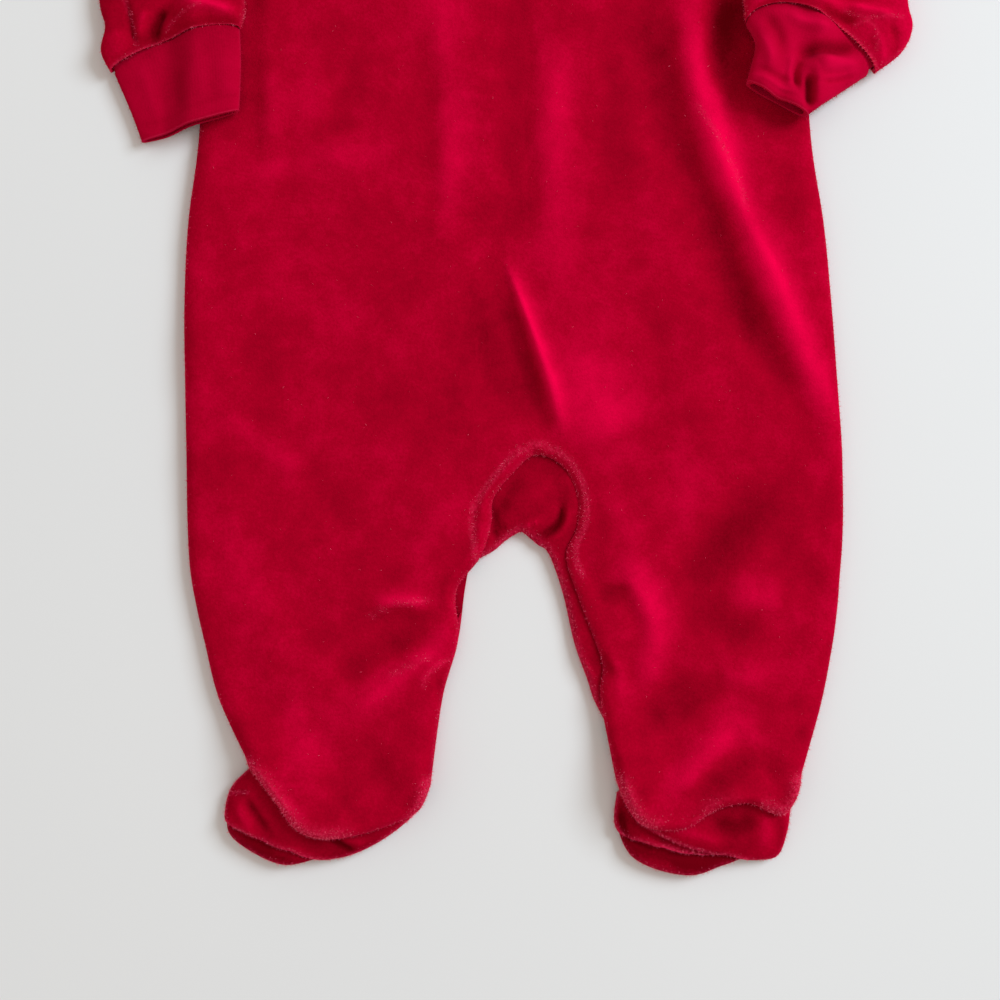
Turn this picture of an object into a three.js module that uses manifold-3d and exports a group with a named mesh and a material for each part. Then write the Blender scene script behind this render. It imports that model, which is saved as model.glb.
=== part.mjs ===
// Footed onesie pajama of red cotton velour for a baby of about three months.
// It lies on its back on a flat surface with both sleeves turned down beside the body.
// Millimetres, +Z up, +Y towards the neck. While the pieces are worked out, the crotch is at y = 0.
import * as THREE from "three";
import { mergeVertices } from "three/addons/utils/BufferGeometryUtils.js";
import Module from "manifold-3d";

const wasm = await Module();
wasm.setup();

// Cloth and lie
const CLOTH = 1.8; // velour, with its pile
const RIB = 1.8; // rib knit of the cuffs and neckband
const SEAM_GAP = 0.4; // clearance between sewn pieces
const LOFT = 7.4; // usual height of the front above the surface
const PRESSED = 5.6; // height of the front under a sleeve
const SEAM_HEIGHT = 3.0; // height of the side seam, where front and back meet
const SIDE_ROLL = 8; // how far in from the side seam the front still rounds over
const BACK_ROLL = 3; // the same on the back, which lies flat
const ANKLE_ROLL = 5;
const ARCH_ROLL = { left: 6.5, right: 5 }; // the left rim of the arch is rolled over further
const ANKLE_LIFT = 5.2; // how far the feet lift the front at the ankles
const ANKLE_LIFT_REACH = 30;
const LEAST_ROLL_RISE = 2.0; // how far the front rises from its seam, even where it is pressed

// Neck
const NECK_HALF_WIDTH = 38;
const NECK_TOP = 388; // highest point of the shoulder seam
const FRONT_NECK_DIP = 45;
const BACK_NECK_DIP = 15;
const NECKBAND_WIDTH = 13;
const NECKBAND_HEIGHT = 6;
const NECK_COLUMN = 0.63; // share of a half panel's width that the shoulder takes

// Centre-back opening
const OVERLAP = 8; // half the width of the placket overlap
const PLACKET_STEP = 2.2; // the upper placket's rise over the lower one
const STUD_COUNT = 6;
const FIRST_STUD_Y = 118;
const STUD_SPACING = 47;
const STUD_RADIUS = 4.6;
const STUD_SHANK = 2.2;
const STUD_CAP = 0.7;

// Sole and gusset folds
const SOLE_LIP = 6; // height of the turned-up sole
const GUSSET_TOP = 4.5; // height of the gusset's upper layer
const GUSSET_PASSED_Y = { left: -10, right: -84 }; // the front is past the gusset's ends here
const GUSSET_RAMP = 9; // stretch over which it comes down from there
const UNDER_FRONT = 0.8; // how far the gusset reaches under the front's edge

// Outline of the body: one row for each section from the shoulder to the ankle.
const SIDES = table(
  ["leftX", "leftY", "rightX", "rightY"],
  [
    [-103, 362, 103, 362],
    [-97, 332, 97, 332],
    [-96.5, 302, 96, 302],
    [-103, 272, 101, 272],
    [-120.5, 250, 116, 250],
    [-124, 214, 117.5, 214],
    [-126, 184, 118, 184],
    [-127.8, 156, 119.8, 156],
    [-131.8, 125, 124.6, 125],
    [-133.3, 92, 127.8, 92],
    [-133.0, 60, 130.2, 60],
    [-132.6, 38, 131.8, 38],
    [-132.4, 26, 132.2, 26],
    [-132.2, 10, 132.4, 10],
    [-131.6, -6, 132, -4],
    [-130.6, -17, 131, -17],
    [-128.4, -29, 130, -30],
    [-125.2, -43, 127.8, -46],
    [-119, -67, 123, -70],
    [-106.5, -93, 114.4, -99],
  ],
);

// Inner edge of the front on the same sections: centre line, crotch arch, then inner leg.
const FRONT_MIDDLE = table(
  ["leftX", "leftY", "rightX", "rightY"],
  [
    [0, 343, 0, 343],
    [0, 324, 0, 324],
    [0, 300, 0, 300],
    [0, 273, 0, 273],
    [0, 246, 0, 246],
    [0, 214, 0, 214],
    [0, 184, 0, 184],
    [0, 156, 0, 156],
    [0.5, 125, 0.5, 125],
    [2, 92, 2, 92],
    [4, 60, 4, 60],
    [8, 32, 8, 32],
    [-1.5, 24, 18.6, 28],
    [-8.6, 14.5, 24.6, 17.5],
    [-9.6, 4, 25.2, 4],
    [-11.4, -8.6, 20.6, -8.4],
    [-22.6, -23, 25.4, -25],
    [-22.8, -42, 30.8, -43.5],
    [-29.2, -66, 34.4, -66],
    [-34, -101, 40.8, -99],
  ],
);

// Inner edge of the back: centre line, just outside the gusset's lower seam, then inner leg.
const BACK_MIDDLE = table(
  ["leftX", "leftY", "rightX", "rightY"],
  [
    [0, 373, 0, 373],
    [0, 345, 0, 345],
    [0, 316, 0, 316],
    [0, 284, 0, 284],
    [0, 250, 0, 250],
    [0, 214, 0, 214],
    [0, 184, 0, 184],
    [0, 150, 0, 150],
    [0.5, 112, 0.5, 112],
    [1, 74, 1, 74],
    [2, 42, 2, 42],
    [3, 10.8, 3, 10.8],
    [-4.2, 7.4, 8.6, 9.8],
    [-9.9, 0.8, 14.9, 4.8],
    [-14.2, -3.6, 20.4, -1.6],
    [-17.8, -10.4, 24.4, -12],
    [-22.6, -23, 28.4, -25],
    [-22.8, -42, 32, -43.5],
    [-29.2, -66, 38.9, -69.5],
    [-34, -101, 40.8, -99],
  ],
);
const ARMPIT_ROW = 4;
const ARCH_ROW = 11;
const ANKLE_ROW = 19;
const STRIP_END_ROW = 18; // the gusset's strip has run out here

// Ankle fold of each leg from the side seam to the inner leg.
const LEFT_ANKLE = table(
  ["x", "y"],
  [
    [-106.5, -93],
    [-96, -106],
    [-88, -117],
    [-78, -121.2],
    [-66, -120.4],
    [-50, -116],
    [-38.8, -110.6],
    [-34, -101],
  ],
);
const RIGHT_ANKLE = table(
  ["x", "y"],
  [
    [114.4, -99],
    [110.4, -111],
    [101, -108],
    [91, -104.4],
    [81.6, -106.4],
    [74, -112.4],
    [66, -117.4],
    [56, -117.2],
    [47.6, -111],
    [40.8, -99],
  ],
);

// Outline of each foot from the outer ankle round the toes to the inner ankle,
// with how far in from it the sole's seam lies.
const LEFT_FOOT = table(
  ["x", "y", "seam"],
  [
    [-107, -94, 3.6],
    [-114.6, -102, 4.2],
    [-117.2, -112, 6],
    [-116, -120, 7],
    [-106, -128, 7],
    [-93, -133.2, 7],
    [-78, -131.6, 6],
    [-66, -129.4, 5],
    [-53, -123, 4.4],
    [-41, -113.4, 4],
    [-35.4, -104, 3.6],
  ],
);
const RIGHT_FOOT = table(
  ["x", "y", "seam"],
  [
    [113.4, -100.6, 3.6],
    [111.4, -110, 4],
    [110, -120, 5],
    [105.6, -130, 6],
    [94, -131.6, 6.4],
    [84, -133.4, 7],
    [71.6, -137.4, 8],
    [57, -135, 8],
    [46, -128.8, 7],
    [40.2, -118, 4.6],
    [41.2, -104, 3.6],
  ],
);
const HEEL_INSET = 6; // how far the heel line starts in from the corners of the back
const UPPER_TUCK = 3; // how far the foot's upper stops short of the heel line
const LEAST_UPPER = 1.6; // its least depth, at the ankle corners
const UPPER_CROWN = 2.4; // how far the foot's upper rises above the sole's lip

// Gusset: upper seam, fold at the crotch edge and lower seam, from the left leg to the right.
const GUSSET = table(
  ["seamX", "seamY", "foldX", "foldY", "underX", "underY"],
  [
    [-13.4, -5.4, -12.4, -8.8, -14.6, -6.4],
    [-10.6, -1.5, -8.6, -6.6, -12.6, -3.6],
    [-9.8, 5, -4.2, -2.8, -9, 0],
    [-8.6, 14.5, 0, 0, -3.4, 6.4],
    [-1.5, 24, 2.2, 1, 1, 9.2],
    [8, 32, 3.6, 0.6, 4.6, 9.8],
    [18.6, 28, 6, -1.4, 9, 8.4],
    [24.6, 17.5, 9.6, -4.4, 14, 4],
    [25.2, 4, 12.6, -6.2, 19.2, -1.8],
    [20.6, -8.4, 15.6, -12.2, 23.2, -12],
    [25.4, -25, 19.8, -25.4, 27.2, -25],
    [30.8, -43.5, 24, -43.8, 30.8, -43.5],
    [34, -58, 29.2, -58.4, 34.4, -58.4],
    [34.4, -66, 31.8, -66.4, 36, -66.6],
    [37.6, -75, 35, -75.4, 38.2, -75.6],
  ],
);

// Folds of the front: from, through and to, then half width and rise (negative in a trough).
const FOLDS = table(
  ["x0", "y0", "xm", "ym", "x1", "y1", "width", "rise"],
  [
    [68, 330, 68, 270, 70, 214, 10, 2.6],
    [70, 214, 77, 166, 94, 124, 8, 3.6],
    [94, 124, 111, 82, 129, 38, 8, 3.0],
    [50, 230, 62, 172, 74, 138, 9, -2.4],
    [74, 138, 90, 94, 122, 44, 8, -2.4],
    [-4, 109, 9, 76, 20, 42, 3.4, 2.4],
    [-8, 110, 3, 72, 11, 40, 5, -1.8],
    [20, 84, 34, 54, 42, 38, 12, 1.0],
    [-26, 230, -27, 170, -28, 114, 8, 1.2],
    [-34, 190, -34, 160, -33, 120, 5, -1.0],
    [1, 230, 1, 165, 0, 112, 7, -1.2],
    [16, 203, 16, 150, 17, 100, 8, 1.4],
    [42, 220, 42, 160, 40, 110, 9, -0.8],
    [-66, 190, -70, 170, -73, 158, 7, -1.1],
    [-106, 138, -86, 150, -54, 154, 6, 0.9],
    [-124, 50, -98, 34, -84, 25, 6, 1.0],
    [-86, 30, -76, 18, -64, 4, 7, -1.0],
    [-56, -36, -44, -37, -34, -38, 8, -2.8],
    [-58, -27, -46, -25, -34, -28, 4.5, 1.6],
    [-70, -75, -46, -56, -23, -34, 6, 2.6],
    [-74, -62, -56, -48, -40, -44, 6, -1.6],
    [34, -24, 42, -23, 52, -22, 5, -1.6],
    [42, -8, 59, -32, 56, -70, 6, 2.4],
    [50, -76, 62, -66, 76, -56, 7, -2.0],
    [112, 24, 84, -2, 72, -28, 9, -3.0],
    [72, -28, 84, -37, 106, -36, 7, -2.2],
    [84, -20, 96, -24, 108, -26, 7, 2.0],
    [60, -104, 74, -90, 92, -73, 6, 2.2],
    [70, -104, 90, -94, 108, -89, 6, -2.0],
    [111, -78, 115, -82, 119, -86, 5, -1.5],
  ],
);

// Sleeves from the armhole to the cuff: outer edge, inner edge, share of the armhole's curve, height.
const SLEEVE_COLUMNS = ["outX", "outY", "inX", "inY", "cap", "height"];
const LEFT_SLEEVE = table(SLEEVE_COLUMNS, [
  [-103.8, 362.6, -121.9, 250.8, 1, 7.2],
  [-118, 352, -123.2, 249.2, 0.8, 8],
  [-134, 336, -123, 246.8, 0.5, 9],
  [-148, 314, -120.4, 242, 0.25, 9.4],
  [-158, 288, -117, 237, 0.1, 9],
  [-164.5, 260, -113.4, 230, 0, 8.6],
  [-167, 236, -110, 221, 0, 8.4],
  [-167, 214, -108, 213, 0, 8.4],
  [-164.6, 204, -107.6, 208.6, 0, 9.4],
  [-166.2, 194, -108.4, 205, 0, 9.8],
  [-162.8, 186.2, -109.4, 201.6, 0, 8.6],
]);
const RIGHT_SLEEVE = table(SLEEVE_COLUMNS, [
  [104.4, 362.8, 118.8, 252, 1, 7.2],
  [117, 353, 120.4, 250.2, 0.8, 8.4],
  [130, 338, 119.4, 247.6, 0.5, 9.6],
  [143, 316, 113.6, 241, 0.25, 10.6],
  [152, 290, 108, 235.6, 0.1, 11],
  [156, 262, 101, 228.6, 0, 11],
  [157, 238, 94.6, 221, 0, 11],
  [157.4, 214, 91, 213.4, 0, 11.4],
  [159.2, 203, 91.2, 209, 0, 12],
  [155, 193.4, 91.4, 206, 0, 12],
  [144.6, 185.4, 91.4, 203.6, 0, 10.6],
]);
const CUFF_COLUMNS = ["outX", "outY", "inX", "inY", "height", "fold"];
const LEFT_CUFF = table(CUFF_COLUMNS, [
  [-161, 184.8, -109.8, 200.8, 6.4, 0],
  [-157, 175.6, -109.4, 190.6, 6.2, 0],
  [-153.4, 166.8, -109.6, 179.8, 6, 0],
  [-150.4, 158.4, -110.2, 169.2, 6, 0],
]);
const RIGHT_CUFF = table(CUFF_COLUMNS, [
  [141.4, 184.6, 92, 202.6, 9.4, -1.5],
  [132.4, 178.6, 95.6, 195, 10.4, -3],
  [124, 172.6, 94, 187, 11, -3.6],
  [116, 166.8, 92, 179.8, 10.6, -3.2],
]);
const ARMPIT_Y = 256;
const SUPPORT_HEIGHT = 6.6; // what a sleeve's underside clears where it lies over the body
const SUPPORT_RAMP = 15; // how far outside the body it comes down to the surface

const COLOURS = {
  velour: new THREE.MeshStandardMaterial({ color: 0xa8021f, roughness: 0.95, metalness: 0 }),
  rib: new THREE.MeshStandardMaterial({ color: 0x90031f, roughness: 0.9, metalness: 0 }),
  stud: new THREE.MeshStandardMaterial({ color: 0xa01025, roughness: 0.45, metalness: 0 }),
};

// Rows of numbers under named columns.
function table(columns, rows) {
  return rows.map((row) => Object.fromEntries(columns.map((name, k) => [name, row[k]])));
}

function mix(a, b, t) {
  return a + (b - a) * t;
}

// The larger of two heights, with a soft turn from one to the other.
function softMax(a, b) {
  return (a + b + Math.hypot(a - b, 1)) / 2;
}

function smooth(from, to, value) {
  const t = Math.min(Math.max((value - from) / (to - from), 0), 1);
  return t * t * (3 - 2 * t);
}

// A column of a table at a row between its rows.
function along(rows, column, place) {
  const last = rows.length - 1;
  const i = Math.min(Math.max(Math.floor(place), 0), last - 1);
  const t = place - i;
  const from = rows[i][column];
  const to = rows[i + 1][column];
  const slopeFrom = (to - rows[Math.max(i - 1, 0)][column]) / 2;
  const slopeTo = (rows[Math.min(i + 2, last)][column] - from) / 2;
  const t2 = t * t;
  const t3 = t2 * t;
  return (
    (2 * t3 - 3 * t2 + 1) * from +
    (t3 - 2 * t2 + t) * slopeFrom +
    (3 * t2 - 2 * t3) * to +
    (t3 - t2) * slopeTo
  );
}

// A curve through a table's x and y, walked at an even pace from 0 to 1.
function evenCurve(rows, steps = 160) {
  const places = [];
  const lengths = [0];
  for (let k = 0; k <= steps; k += 1) {
    const place = (k / steps) * (rows.length - 1);
    places.push([along(rows, "x", place), along(rows, "y", place), place]);
    if (k > 0) {
      const [x0, y0] = places[k - 1];
      const [x1, y1] = places[k];
      lengths.push(lengths[k - 1] + Math.hypot(x1 - x0, y1 - y0));
    }
  }
  return (share) => {
    const target = share * lengths[steps];
    let k = 1;
    while (k < steps && lengths[k] < target) k += 1;
    const t = (target - lengths[k - 1]) / (lengths[k] - lengths[k - 1]);
    return places[k].map((value, axis) => mix(places[k - 1][axis], value, t));
  };
}

const ankleCurves = { left: evenCurve(LEFT_ANKLE), right: evenCurve(RIGHT_ANKLE) };
const footCurves = { left: evenCurve(LEFT_FOOT), right: evenCurve(RIGHT_FOOT) };

// Shoulder seam and neckline of one half, from the shoulder point to the centre.
function topCurve(side, dip, share) {
  const sign = side === "left" ? -1 : 1;
  const shoulder = SIDES[0];
  if (share <= NECK_COLUMN) {
    const t = share / NECK_COLUMN;
    return [mix(shoulder[side + "X"], sign * NECK_HALF_WIDTH, t), mix(shoulder[side + "Y"], NECK_TOP, t)];
  }
  const angle = ((share - NECK_COLUMN) / (1 - NECK_COLUMN)) * (Math.PI / 2);
  return [sign * NECK_HALF_WIDTH * Math.cos(angle), NECK_TOP - dip * Math.sin(angle)];
}

// A point of a panel's plan: row place from shoulder to ankle, share from side seam to middle.
function planPoint(side, middle, dip, place, share, bottomCurve) {
  const outer = [along(SIDES, side + "X", place), along(SIDES, side + "Y", place)];
  const inner = ["X", "Y"].map((axis) => {
    if (place > ARCH_ROW) return along(middle.slice(ARCH_ROW), side + axis, place - ARCH_ROW);
    return (along(middle, "left" + axis, place) + along(middle, "right" + axis, place)) / 2;
  });
  const point = [mix(outer[0], inner[0], share), mix(outer[1], inner[1], share)];
  if (place < ARMPIT_ROW) {
    const pull = (1 - place / ARMPIT_ROW) ** 2;
    const start = SIDES[0];
    const top = topCurve(side, dip, share);
    point[0] += pull * (top[0] - mix(start[side + "X"], middle[0][side + "X"], share));
    point[1] += pull * (top[1] - mix(start[side + "Y"], middle[0][side + "Y"], share));
  }
  if (bottomCurve && place > ANKLE_ROW - 4) {
    const pull = ((place - ANKLE_ROW + 4) / 4) ** 2;
    const end = SIDES[ANKLE_ROW];
    const [x, y] = bottomCurve(share);
    point[0] += pull * (x - mix(end[side + "X"], middle[ANKLE_ROW][side + "X"], share));
    point[1] += pull * (y - mix(end[side + "Y"], middle[ANKLE_ROW][side + "Y"], share));
  }
  return point;
}

// Distance to a run of points, with the nearest place on it.
function nearest(run, x, y) {
  let best = { distance: Infinity, place: 0 };
  for (let k = 0; k < run.length - 1; k += 1) {
    const dx = run[k + 1][0] - run[k][0];
    const dy = run[k + 1][1] - run[k][1];
    const t = ((x - run[k][0]) * dx + (y - run[k][1]) * dy) / (dx * dx + dy * dy);
    const clamped = Math.min(Math.max(t, 0), 1);
    const distance = Math.hypot(x - run[k][0] - dx * clamped, y - run[k][1] - dy * clamped);
    if (distance < best.distance) best = { distance, place: k + clamped };
  }
  return best;
}

// Distance inside a closed outline, negative outside it.
function inside(outline, x, y) {
  const loop = [...outline, outline[0]];
  let within = false;
  for (let k = 0; k < loop.length - 1; k += 1) {
    const [x0, y0] = loop[k];
    const [x1, y1] = loop[k + 1];
    if (y0 > y !== y1 > y && x < ((x1 - x0) * (y - y0)) / (y1 - y0) + x0) within = !within;
  }
  const { distance } = nearest(loop, x, y);
  return within ? distance : -distance;
}

const FOOT_STEPS = 16;
const OUTLINE_REACH = 7; // how far outside a foot the leg starts to rise over it
const footOutlines = ["left", "right"].map((side) =>
  Array.from({ length: FOOT_STEPS + 1 }, (_, k) => footCurves[side](k / FOOT_STEPS).slice(0, 2)),
);

// Height of what lies under the leg's end: the foot, with its sole's lip.
function footTop(x, y) {
  const depth = Math.max(...footOutlines.map((outline) => inside(outline, x, y)));
  const lip = (SOLE_LIP + SEAM_GAP) * smooth(-OUTLINE_REACH, -1.5, depth);
  return lip + UPPER_CROWN * smooth(0, 8, depth);
}

// Sum of the folds of a table at a point.
function foldRise(folds, x, y) {
  let rise = 0;
  for (const fold of folds) {
    const reach = 2.6 * fold.width;
    const bendX = 2 * fold.xm - (fold.x0 + fold.x1) / 2;
    const bendY = 2 * fold.ym - (fold.y0 + fold.y1) / 2;
    const steps = 8;
    const run = [];
    for (let k = 0; k <= steps; k += 1) {
      const t = k / steps;
      const a = (1 - t) * (1 - t);
      const b = 2 * t * (1 - t);
      const c = t * t;
      run.push([a * fold.x0 + b * bendX + c * fold.x1, a * fold.y0 + b * bendY + c * fold.y1]);
    }
    const { distance, place } = nearest(run, x, y);
    if (distance > reach) continue;
    const end = Math.min(place, steps - place) / steps;
    rise += fold.rise * Math.exp(-((distance / fold.width) ** 2)) * smooth(-0.12, 0.3, end);
  }
  return rise;
}

// Rise of the right back panel over the left one at the placket.
function placketStep(x, y) {
  return PLACKET_STEP * smooth(38, 70, y) * smooth(OVERLAP + 12, OVERLAP + 1, x);
}

function overlapAt(y) {
  return OVERLAP * smooth(72, 110, y);
}

// Share of the sleeves' weight on the front.
function pressed(x, y) {
  const left = smooth(-98, -106, x) * smooth(150, 162, y);
  const right = smooth(80, 89, x) * smooth(156, 170, y);
  return Math.max(left, right);
}

const ROWS_PER_SECTION = 2;
const PLACES = Array.from({ length: ANKLE_ROW * ROWS_PER_SECTION + 1 }, (_, k) => k / ROWS_PER_SECTION);
const SHARES = [0, 0.02, 0.06, 0.14, 0.27, 0.4, 0.52, NECK_COLUMN, 0.74, 0.84, 0.92, 0.97, 1];

// Edges where the front rounds over, each vertex with its seam height, roll and inward direction.
function rolledEdge(points, roll, seamHeight) {
  return points.map(([x, y], k) => {
    const before = points[Math.max(k - 1, 0)];
    const after = points[Math.min(k + 1, points.length - 1)];
    const length = Math.hypot(after[0] - before[0], after[1] - before[1]);
    const inward = [-(after[1] - before[1]) / length, (after[0] - before[0]) / length];
    return [x, y, roll, seamHeight(x, y, k), ...inward];
  });
}

function planRun(side, middle, share, from, to) {
  return PLACES.filter((place) => place >= from && place <= to).map((place) =>
    planPoint(side, middle, FRONT_NECK_DIP, place, share, ankleCurves[side]),
  );
}

const legSeam = (x, y) => Math.max(SEAM_HEIGHT + SEAM_GAP, footTop(x, y) + 2 * SEAM_GAP);
const overGusset = (endY) => (x, y) =>
  Math.max(legSeam(x, y), GUSSET_TOP + SEAM_GAP - (GUSSET_TOP - SEAM_HEIGHT) * smooth(endY, endY - GUSSET_RAMP, y));
const archSeams = { left: overGusset(GUSSET_PASSED_Y.left), right: overGusset(GUSSET_PASSED_Y.right) };
const shoulderRun = (side) =>
  SHARES.filter((share) => share <= NECK_COLUMN).map((share) => topCurve(side, FRONT_NECK_DIP, share));
const ankleRun = (side) => SHARES.map((share) => ankleCurves[side](share).slice(0, 2));

const FRONT_EDGES = [
  rolledEdge(planRun("left", FRONT_MIDDLE, 0, ARMPIT_ROW, ANKLE_ROW), SIDE_ROLL, legSeam),
  rolledEdge(planRun("right", FRONT_MIDDLE, 0, ARMPIT_ROW, ANKLE_ROW).reverse(), SIDE_ROLL, legSeam),
  rolledEdge(planRun("left", FRONT_MIDDLE, 1, ARCH_ROW, ANKLE_ROW).reverse(), ARCH_ROLL.left, archSeams.left),
  rolledEdge(planRun("right", FRONT_MIDDLE, 1, ARCH_ROW, ANKLE_ROW), ARCH_ROLL.right, archSeams.right),
  rolledEdge(ankleRun("left"), ANKLE_ROLL, legSeam),
  rolledEdge(ankleRun("right").reverse(), ANKLE_ROLL, legSeam),
  rolledEdge(shoulderRun("left").reverse(), SIDE_ROLL, legSeam),
  rolledEdge(shoulderRun("right"), SIDE_ROLL, legSeam),
];

function nearestEdge(edges, x, y) {
  let best = { distance: Infinity };
  for (const edge of edges) {
    const found = nearest(edge, x, y);
    if (found.distance < best.distance) best = { ...found, edge };
  }
  const i = Math.min(Math.floor(best.place), best.edge.length - 2);
  const t = best.place - i;
  const at = best.edge[i].map((value, k) => mix(value, best.edge[i + 1][k], t));
  const inward = best.distance < 0.05 ? [at[4], at[5]] : [x - at[0], y - at[1]];
  const length = Math.hypot(...inward);
  return {
    distance: best.distance,
    roll: at[2],
    seam: at[3],
    inward: [inward[0] / length, inward[1] / length],
  };
}

const ankleRuns = [ankleRun("left"), ankleRun("right")];

// Height of the front away from its edges.
function frontLoft(x, y) {
  const toAnkle = Math.min(...ankleRuns.map((run) => nearest(run, x, y).distance));
  const lift = ANKLE_LIFT * (1 - smooth(2, ANKLE_LIFT_REACH, toAnkle));
  const loose = LOFT + foldRise(FOLDS, x, y) + lift;
  const resting = mix(loose, PRESSED, pressed(x, y));
  const backRise = placketStep(x, y) * smooth(-OVERLAP - 12, -OVERLAP - 2, x);
  const overBack = Math.max(resting, 2 * CLOTH + 2 * SEAM_GAP + backRise);
  return softMax(overBack, footTop(x, y) + CLOTH + SEAM_GAP);
}

// Outer and inner points of a wall whose height over the plan rounds over at its edges.
function rolledWall(x, y, loft, edges, isOpen) {
  const near = nearestEdge(edges, x, y);
  const share = isOpen ? 1 : Math.min(near.distance / near.roll, 1);
  const height = loft(x, y);
  const held = smooth(2 * near.roll, near.roll, near.distance);
  const level = height + held * Math.max(near.seam + LEAST_ROLL_RISE - height, 0);
  const rise = level - near.seam;
  const flat = 1 - share;
  const up = Math.sqrt(1 - flat * flat);
  const step = 1;
  const slopeX = (loft(x + step, y) - loft(x - step, y)) / (2 * step);
  const slopeY = (loft(x, y + step) - loft(x, y - step)) / (2 * step);
  const normal = new THREE.Vector3(
    -near.inward[0] * rise * flat - slopeX * near.roll * up,
    -near.inward[1] * rise * flat - slopeY * near.roll * up,
    near.roll * up,
  ).normalize();
  const outer = [x, y, near.seam + rise * up];
  const inner = outer.map((value, axis) => value - CLOTH * normal.getComponent(axis));
  if (share < 1) inner[2] = Math.max(inner[2], near.seam);
  return [outer, inner];
}

// Triangles of a closed wall between two grids of the same size.
// The last column stays open over the first rows where another half joins it.
function wall(outer, inner, { rings = false, openRows = 0 } = {}) {
  const points = [];
  const quad = (a, b, c, d) => points.push(...a, ...b, ...c, ...a, ...c, ...d);
  const rows = outer.length;
  const columns = outer[0].length;
  const next = (j) => (rings ? (j + 1) % columns : j + 1);
  const spans = rings ? columns : columns - 1;
  for (let i = 0; i < rows - 1; i += 1)
    for (let j = 0; j < spans; j += 1) {
      const k = next(j);
      quad(outer[i][j], outer[i + 1][j], outer[i + 1][k], outer[i][k]);
      quad(inner[i][j], inner[i][k], inner[i + 1][k], inner[i + 1][j]);
    }
  const end = rows - 1;
  for (let j = 0; j < spans; j += 1) {
    quad(outer[0][j], outer[0][next(j)], inner[0][next(j)], inner[0][j]);
    quad(outer[end][j], inner[end][j], inner[end][next(j)], outer[end][next(j)]);
  }
  if (rings) return points;
  const last = columns - 1;
  for (let i = 0; i < rows - 1; i += 1) {
    quad(outer[i][0], inner[i][0], inner[i + 1][0], outer[i + 1][0]);
    if (i >= openRows) quad(outer[i][last], outer[i + 1][last], inner[i + 1][last], inner[i][last]);
  }
  return points;
}

function reversed(points) {
  const turned = [];
  for (let k = 0; k < points.length; k += 9)
    turned.push(...points.slice(k, k + 3), ...points.slice(k + 6, k + 9), ...points.slice(k + 3, k + 6));
  return turned;
}

// A geometry from triangles, turned so that its faces point outwards.
function solid(points) {
  let volume = 0;
  const [a, b, c] = [new THREE.Vector3(), new THREE.Vector3(), new THREE.Vector3()];
  for (let k = 0; k < points.length; k += 9) {
    a.fromArray(points, k);
    b.fromArray(points, k + 3);
    c.fromArray(points, k + 6);
    volume += a.dot(b.cross(c));
  }
  const geometry = new THREE.BufferGeometry();
  const facing = volume < 0 ? reversed(points) : points;
  geometry.setAttribute("position", new THREE.Float32BufferAttribute(facing, 3));
  return mergeVertices(geometry, 1e-3);
}

function named(name, geometry, material) {
  geometry.computeVertexNormals();
  const mesh = new THREE.Mesh(geometry, material);
  mesh.name = name;
  return mesh;
}

// Front: two halves that share the centre line above the arch.
function frontPiece() {
  const halves = ["left", "right"].map((side) => {
    const pairs = PLACES.map((place) =>
      SHARES.map((share) => {
        const [x, y] = planPoint(side, FRONT_MIDDLE, FRONT_NECK_DIP, place, share, ankleCurves[side]);
        const isNeck = place === 0 && share > NECK_COLUMN;
        const isArmhole = place > 0.6 && place < ARMPIT_ROW && share < 0.1;
        return rolledWall(x, y, frontLoft, FRONT_EDGES, isNeck || isArmhole);
      }),
    );
    const outer = pairs.map((row) => row.map((pair) => pair[0]));
    const inner = pairs.map((row) => row.map((pair) => pair[1]));
    const points = wall(outer, inner, { openRows: ARCH_ROW * ROWS_PER_SECTION });
    return side === "left" ? points : reversed(points);
  });
  return named("front", solid(halves.flat()), COLOURS.velour);
}

// Edges where the back turns up to the side seams.
const BACK_EDGES = [
  rolledEdge(planRun("left", BACK_MIDDLE, 0, ARMPIT_ROW, ANKLE_ROW), BACK_ROLL, () => 0),
  rolledEdge(planRun("right", BACK_MIDDLE, 0, ARMPIT_ROW, ANKLE_ROW).reverse(), BACK_ROLL, () => 0),
  rolledEdge(planRun("left", BACK_MIDDLE, 1, STRIP_END_ROW - 1.5, ANKLE_ROW).reverse(), BACK_ROLL, () => 0),
  rolledEdge(planRun("right", BACK_MIDDLE, 1, STRIP_END_ROW + 0.5, ANKLE_ROW), BACK_ROLL, () => 0),
  rolledEdge(shoulderRun("left").reverse(), BACK_ROLL, () => 0),
  rolledEdge(shoulderRun("right"), BACK_ROLL, () => 0),
];

function backPoint(x, y, isRight, isOpen) {
  const near = nearestEdge(BACK_EDGES, x, y);
  const flat = isOpen ? 0 : 1 - Math.min(near.distance / BACK_ROLL, 1);
  const down = Math.sqrt(1 - flat * flat);
  const base = isRight ? placketStep(x, y) : 0;
  const low = [x, y, base + SEAM_HEIGHT * (1 - down)];
  const high = [x + near.inward[0] * CLOTH * flat, y + near.inward[1] * CLOTH * flat, low[2] + CLOTH * down];
  return [high, low];
}

function backPiece(side) {
  const isRight = side === "right";
  const shares = SHARES.filter((share) => share !== 0.14);
  const pairs = PLACES.filter((place) => Number.isInteger(place)).map((place) =>
    shares.map((share) => {
      const [x, y] = planPoint(side, BACK_MIDDLE, BACK_NECK_DIP, place, share, null);
      const reach = place > ARCH_ROW ? 0 : overlapAt(y) - SEAM_GAP / 2;
      const shift = (isRight ? -1 : 1) * reach * smooth(0.9, 1, share);
      const isOpen = share === 0 && place < ARMPIT_ROW && place > 0.6;
      return backPoint(x + shift, y, isRight, isOpen);
    }),
  );
  const outer = pairs.map((row) => row.map((pair) => pair[0]));
  const inner = pairs.map((row) => row.map((pair) => pair[1]));
  return solid(wall(outer, inner));
}

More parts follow.
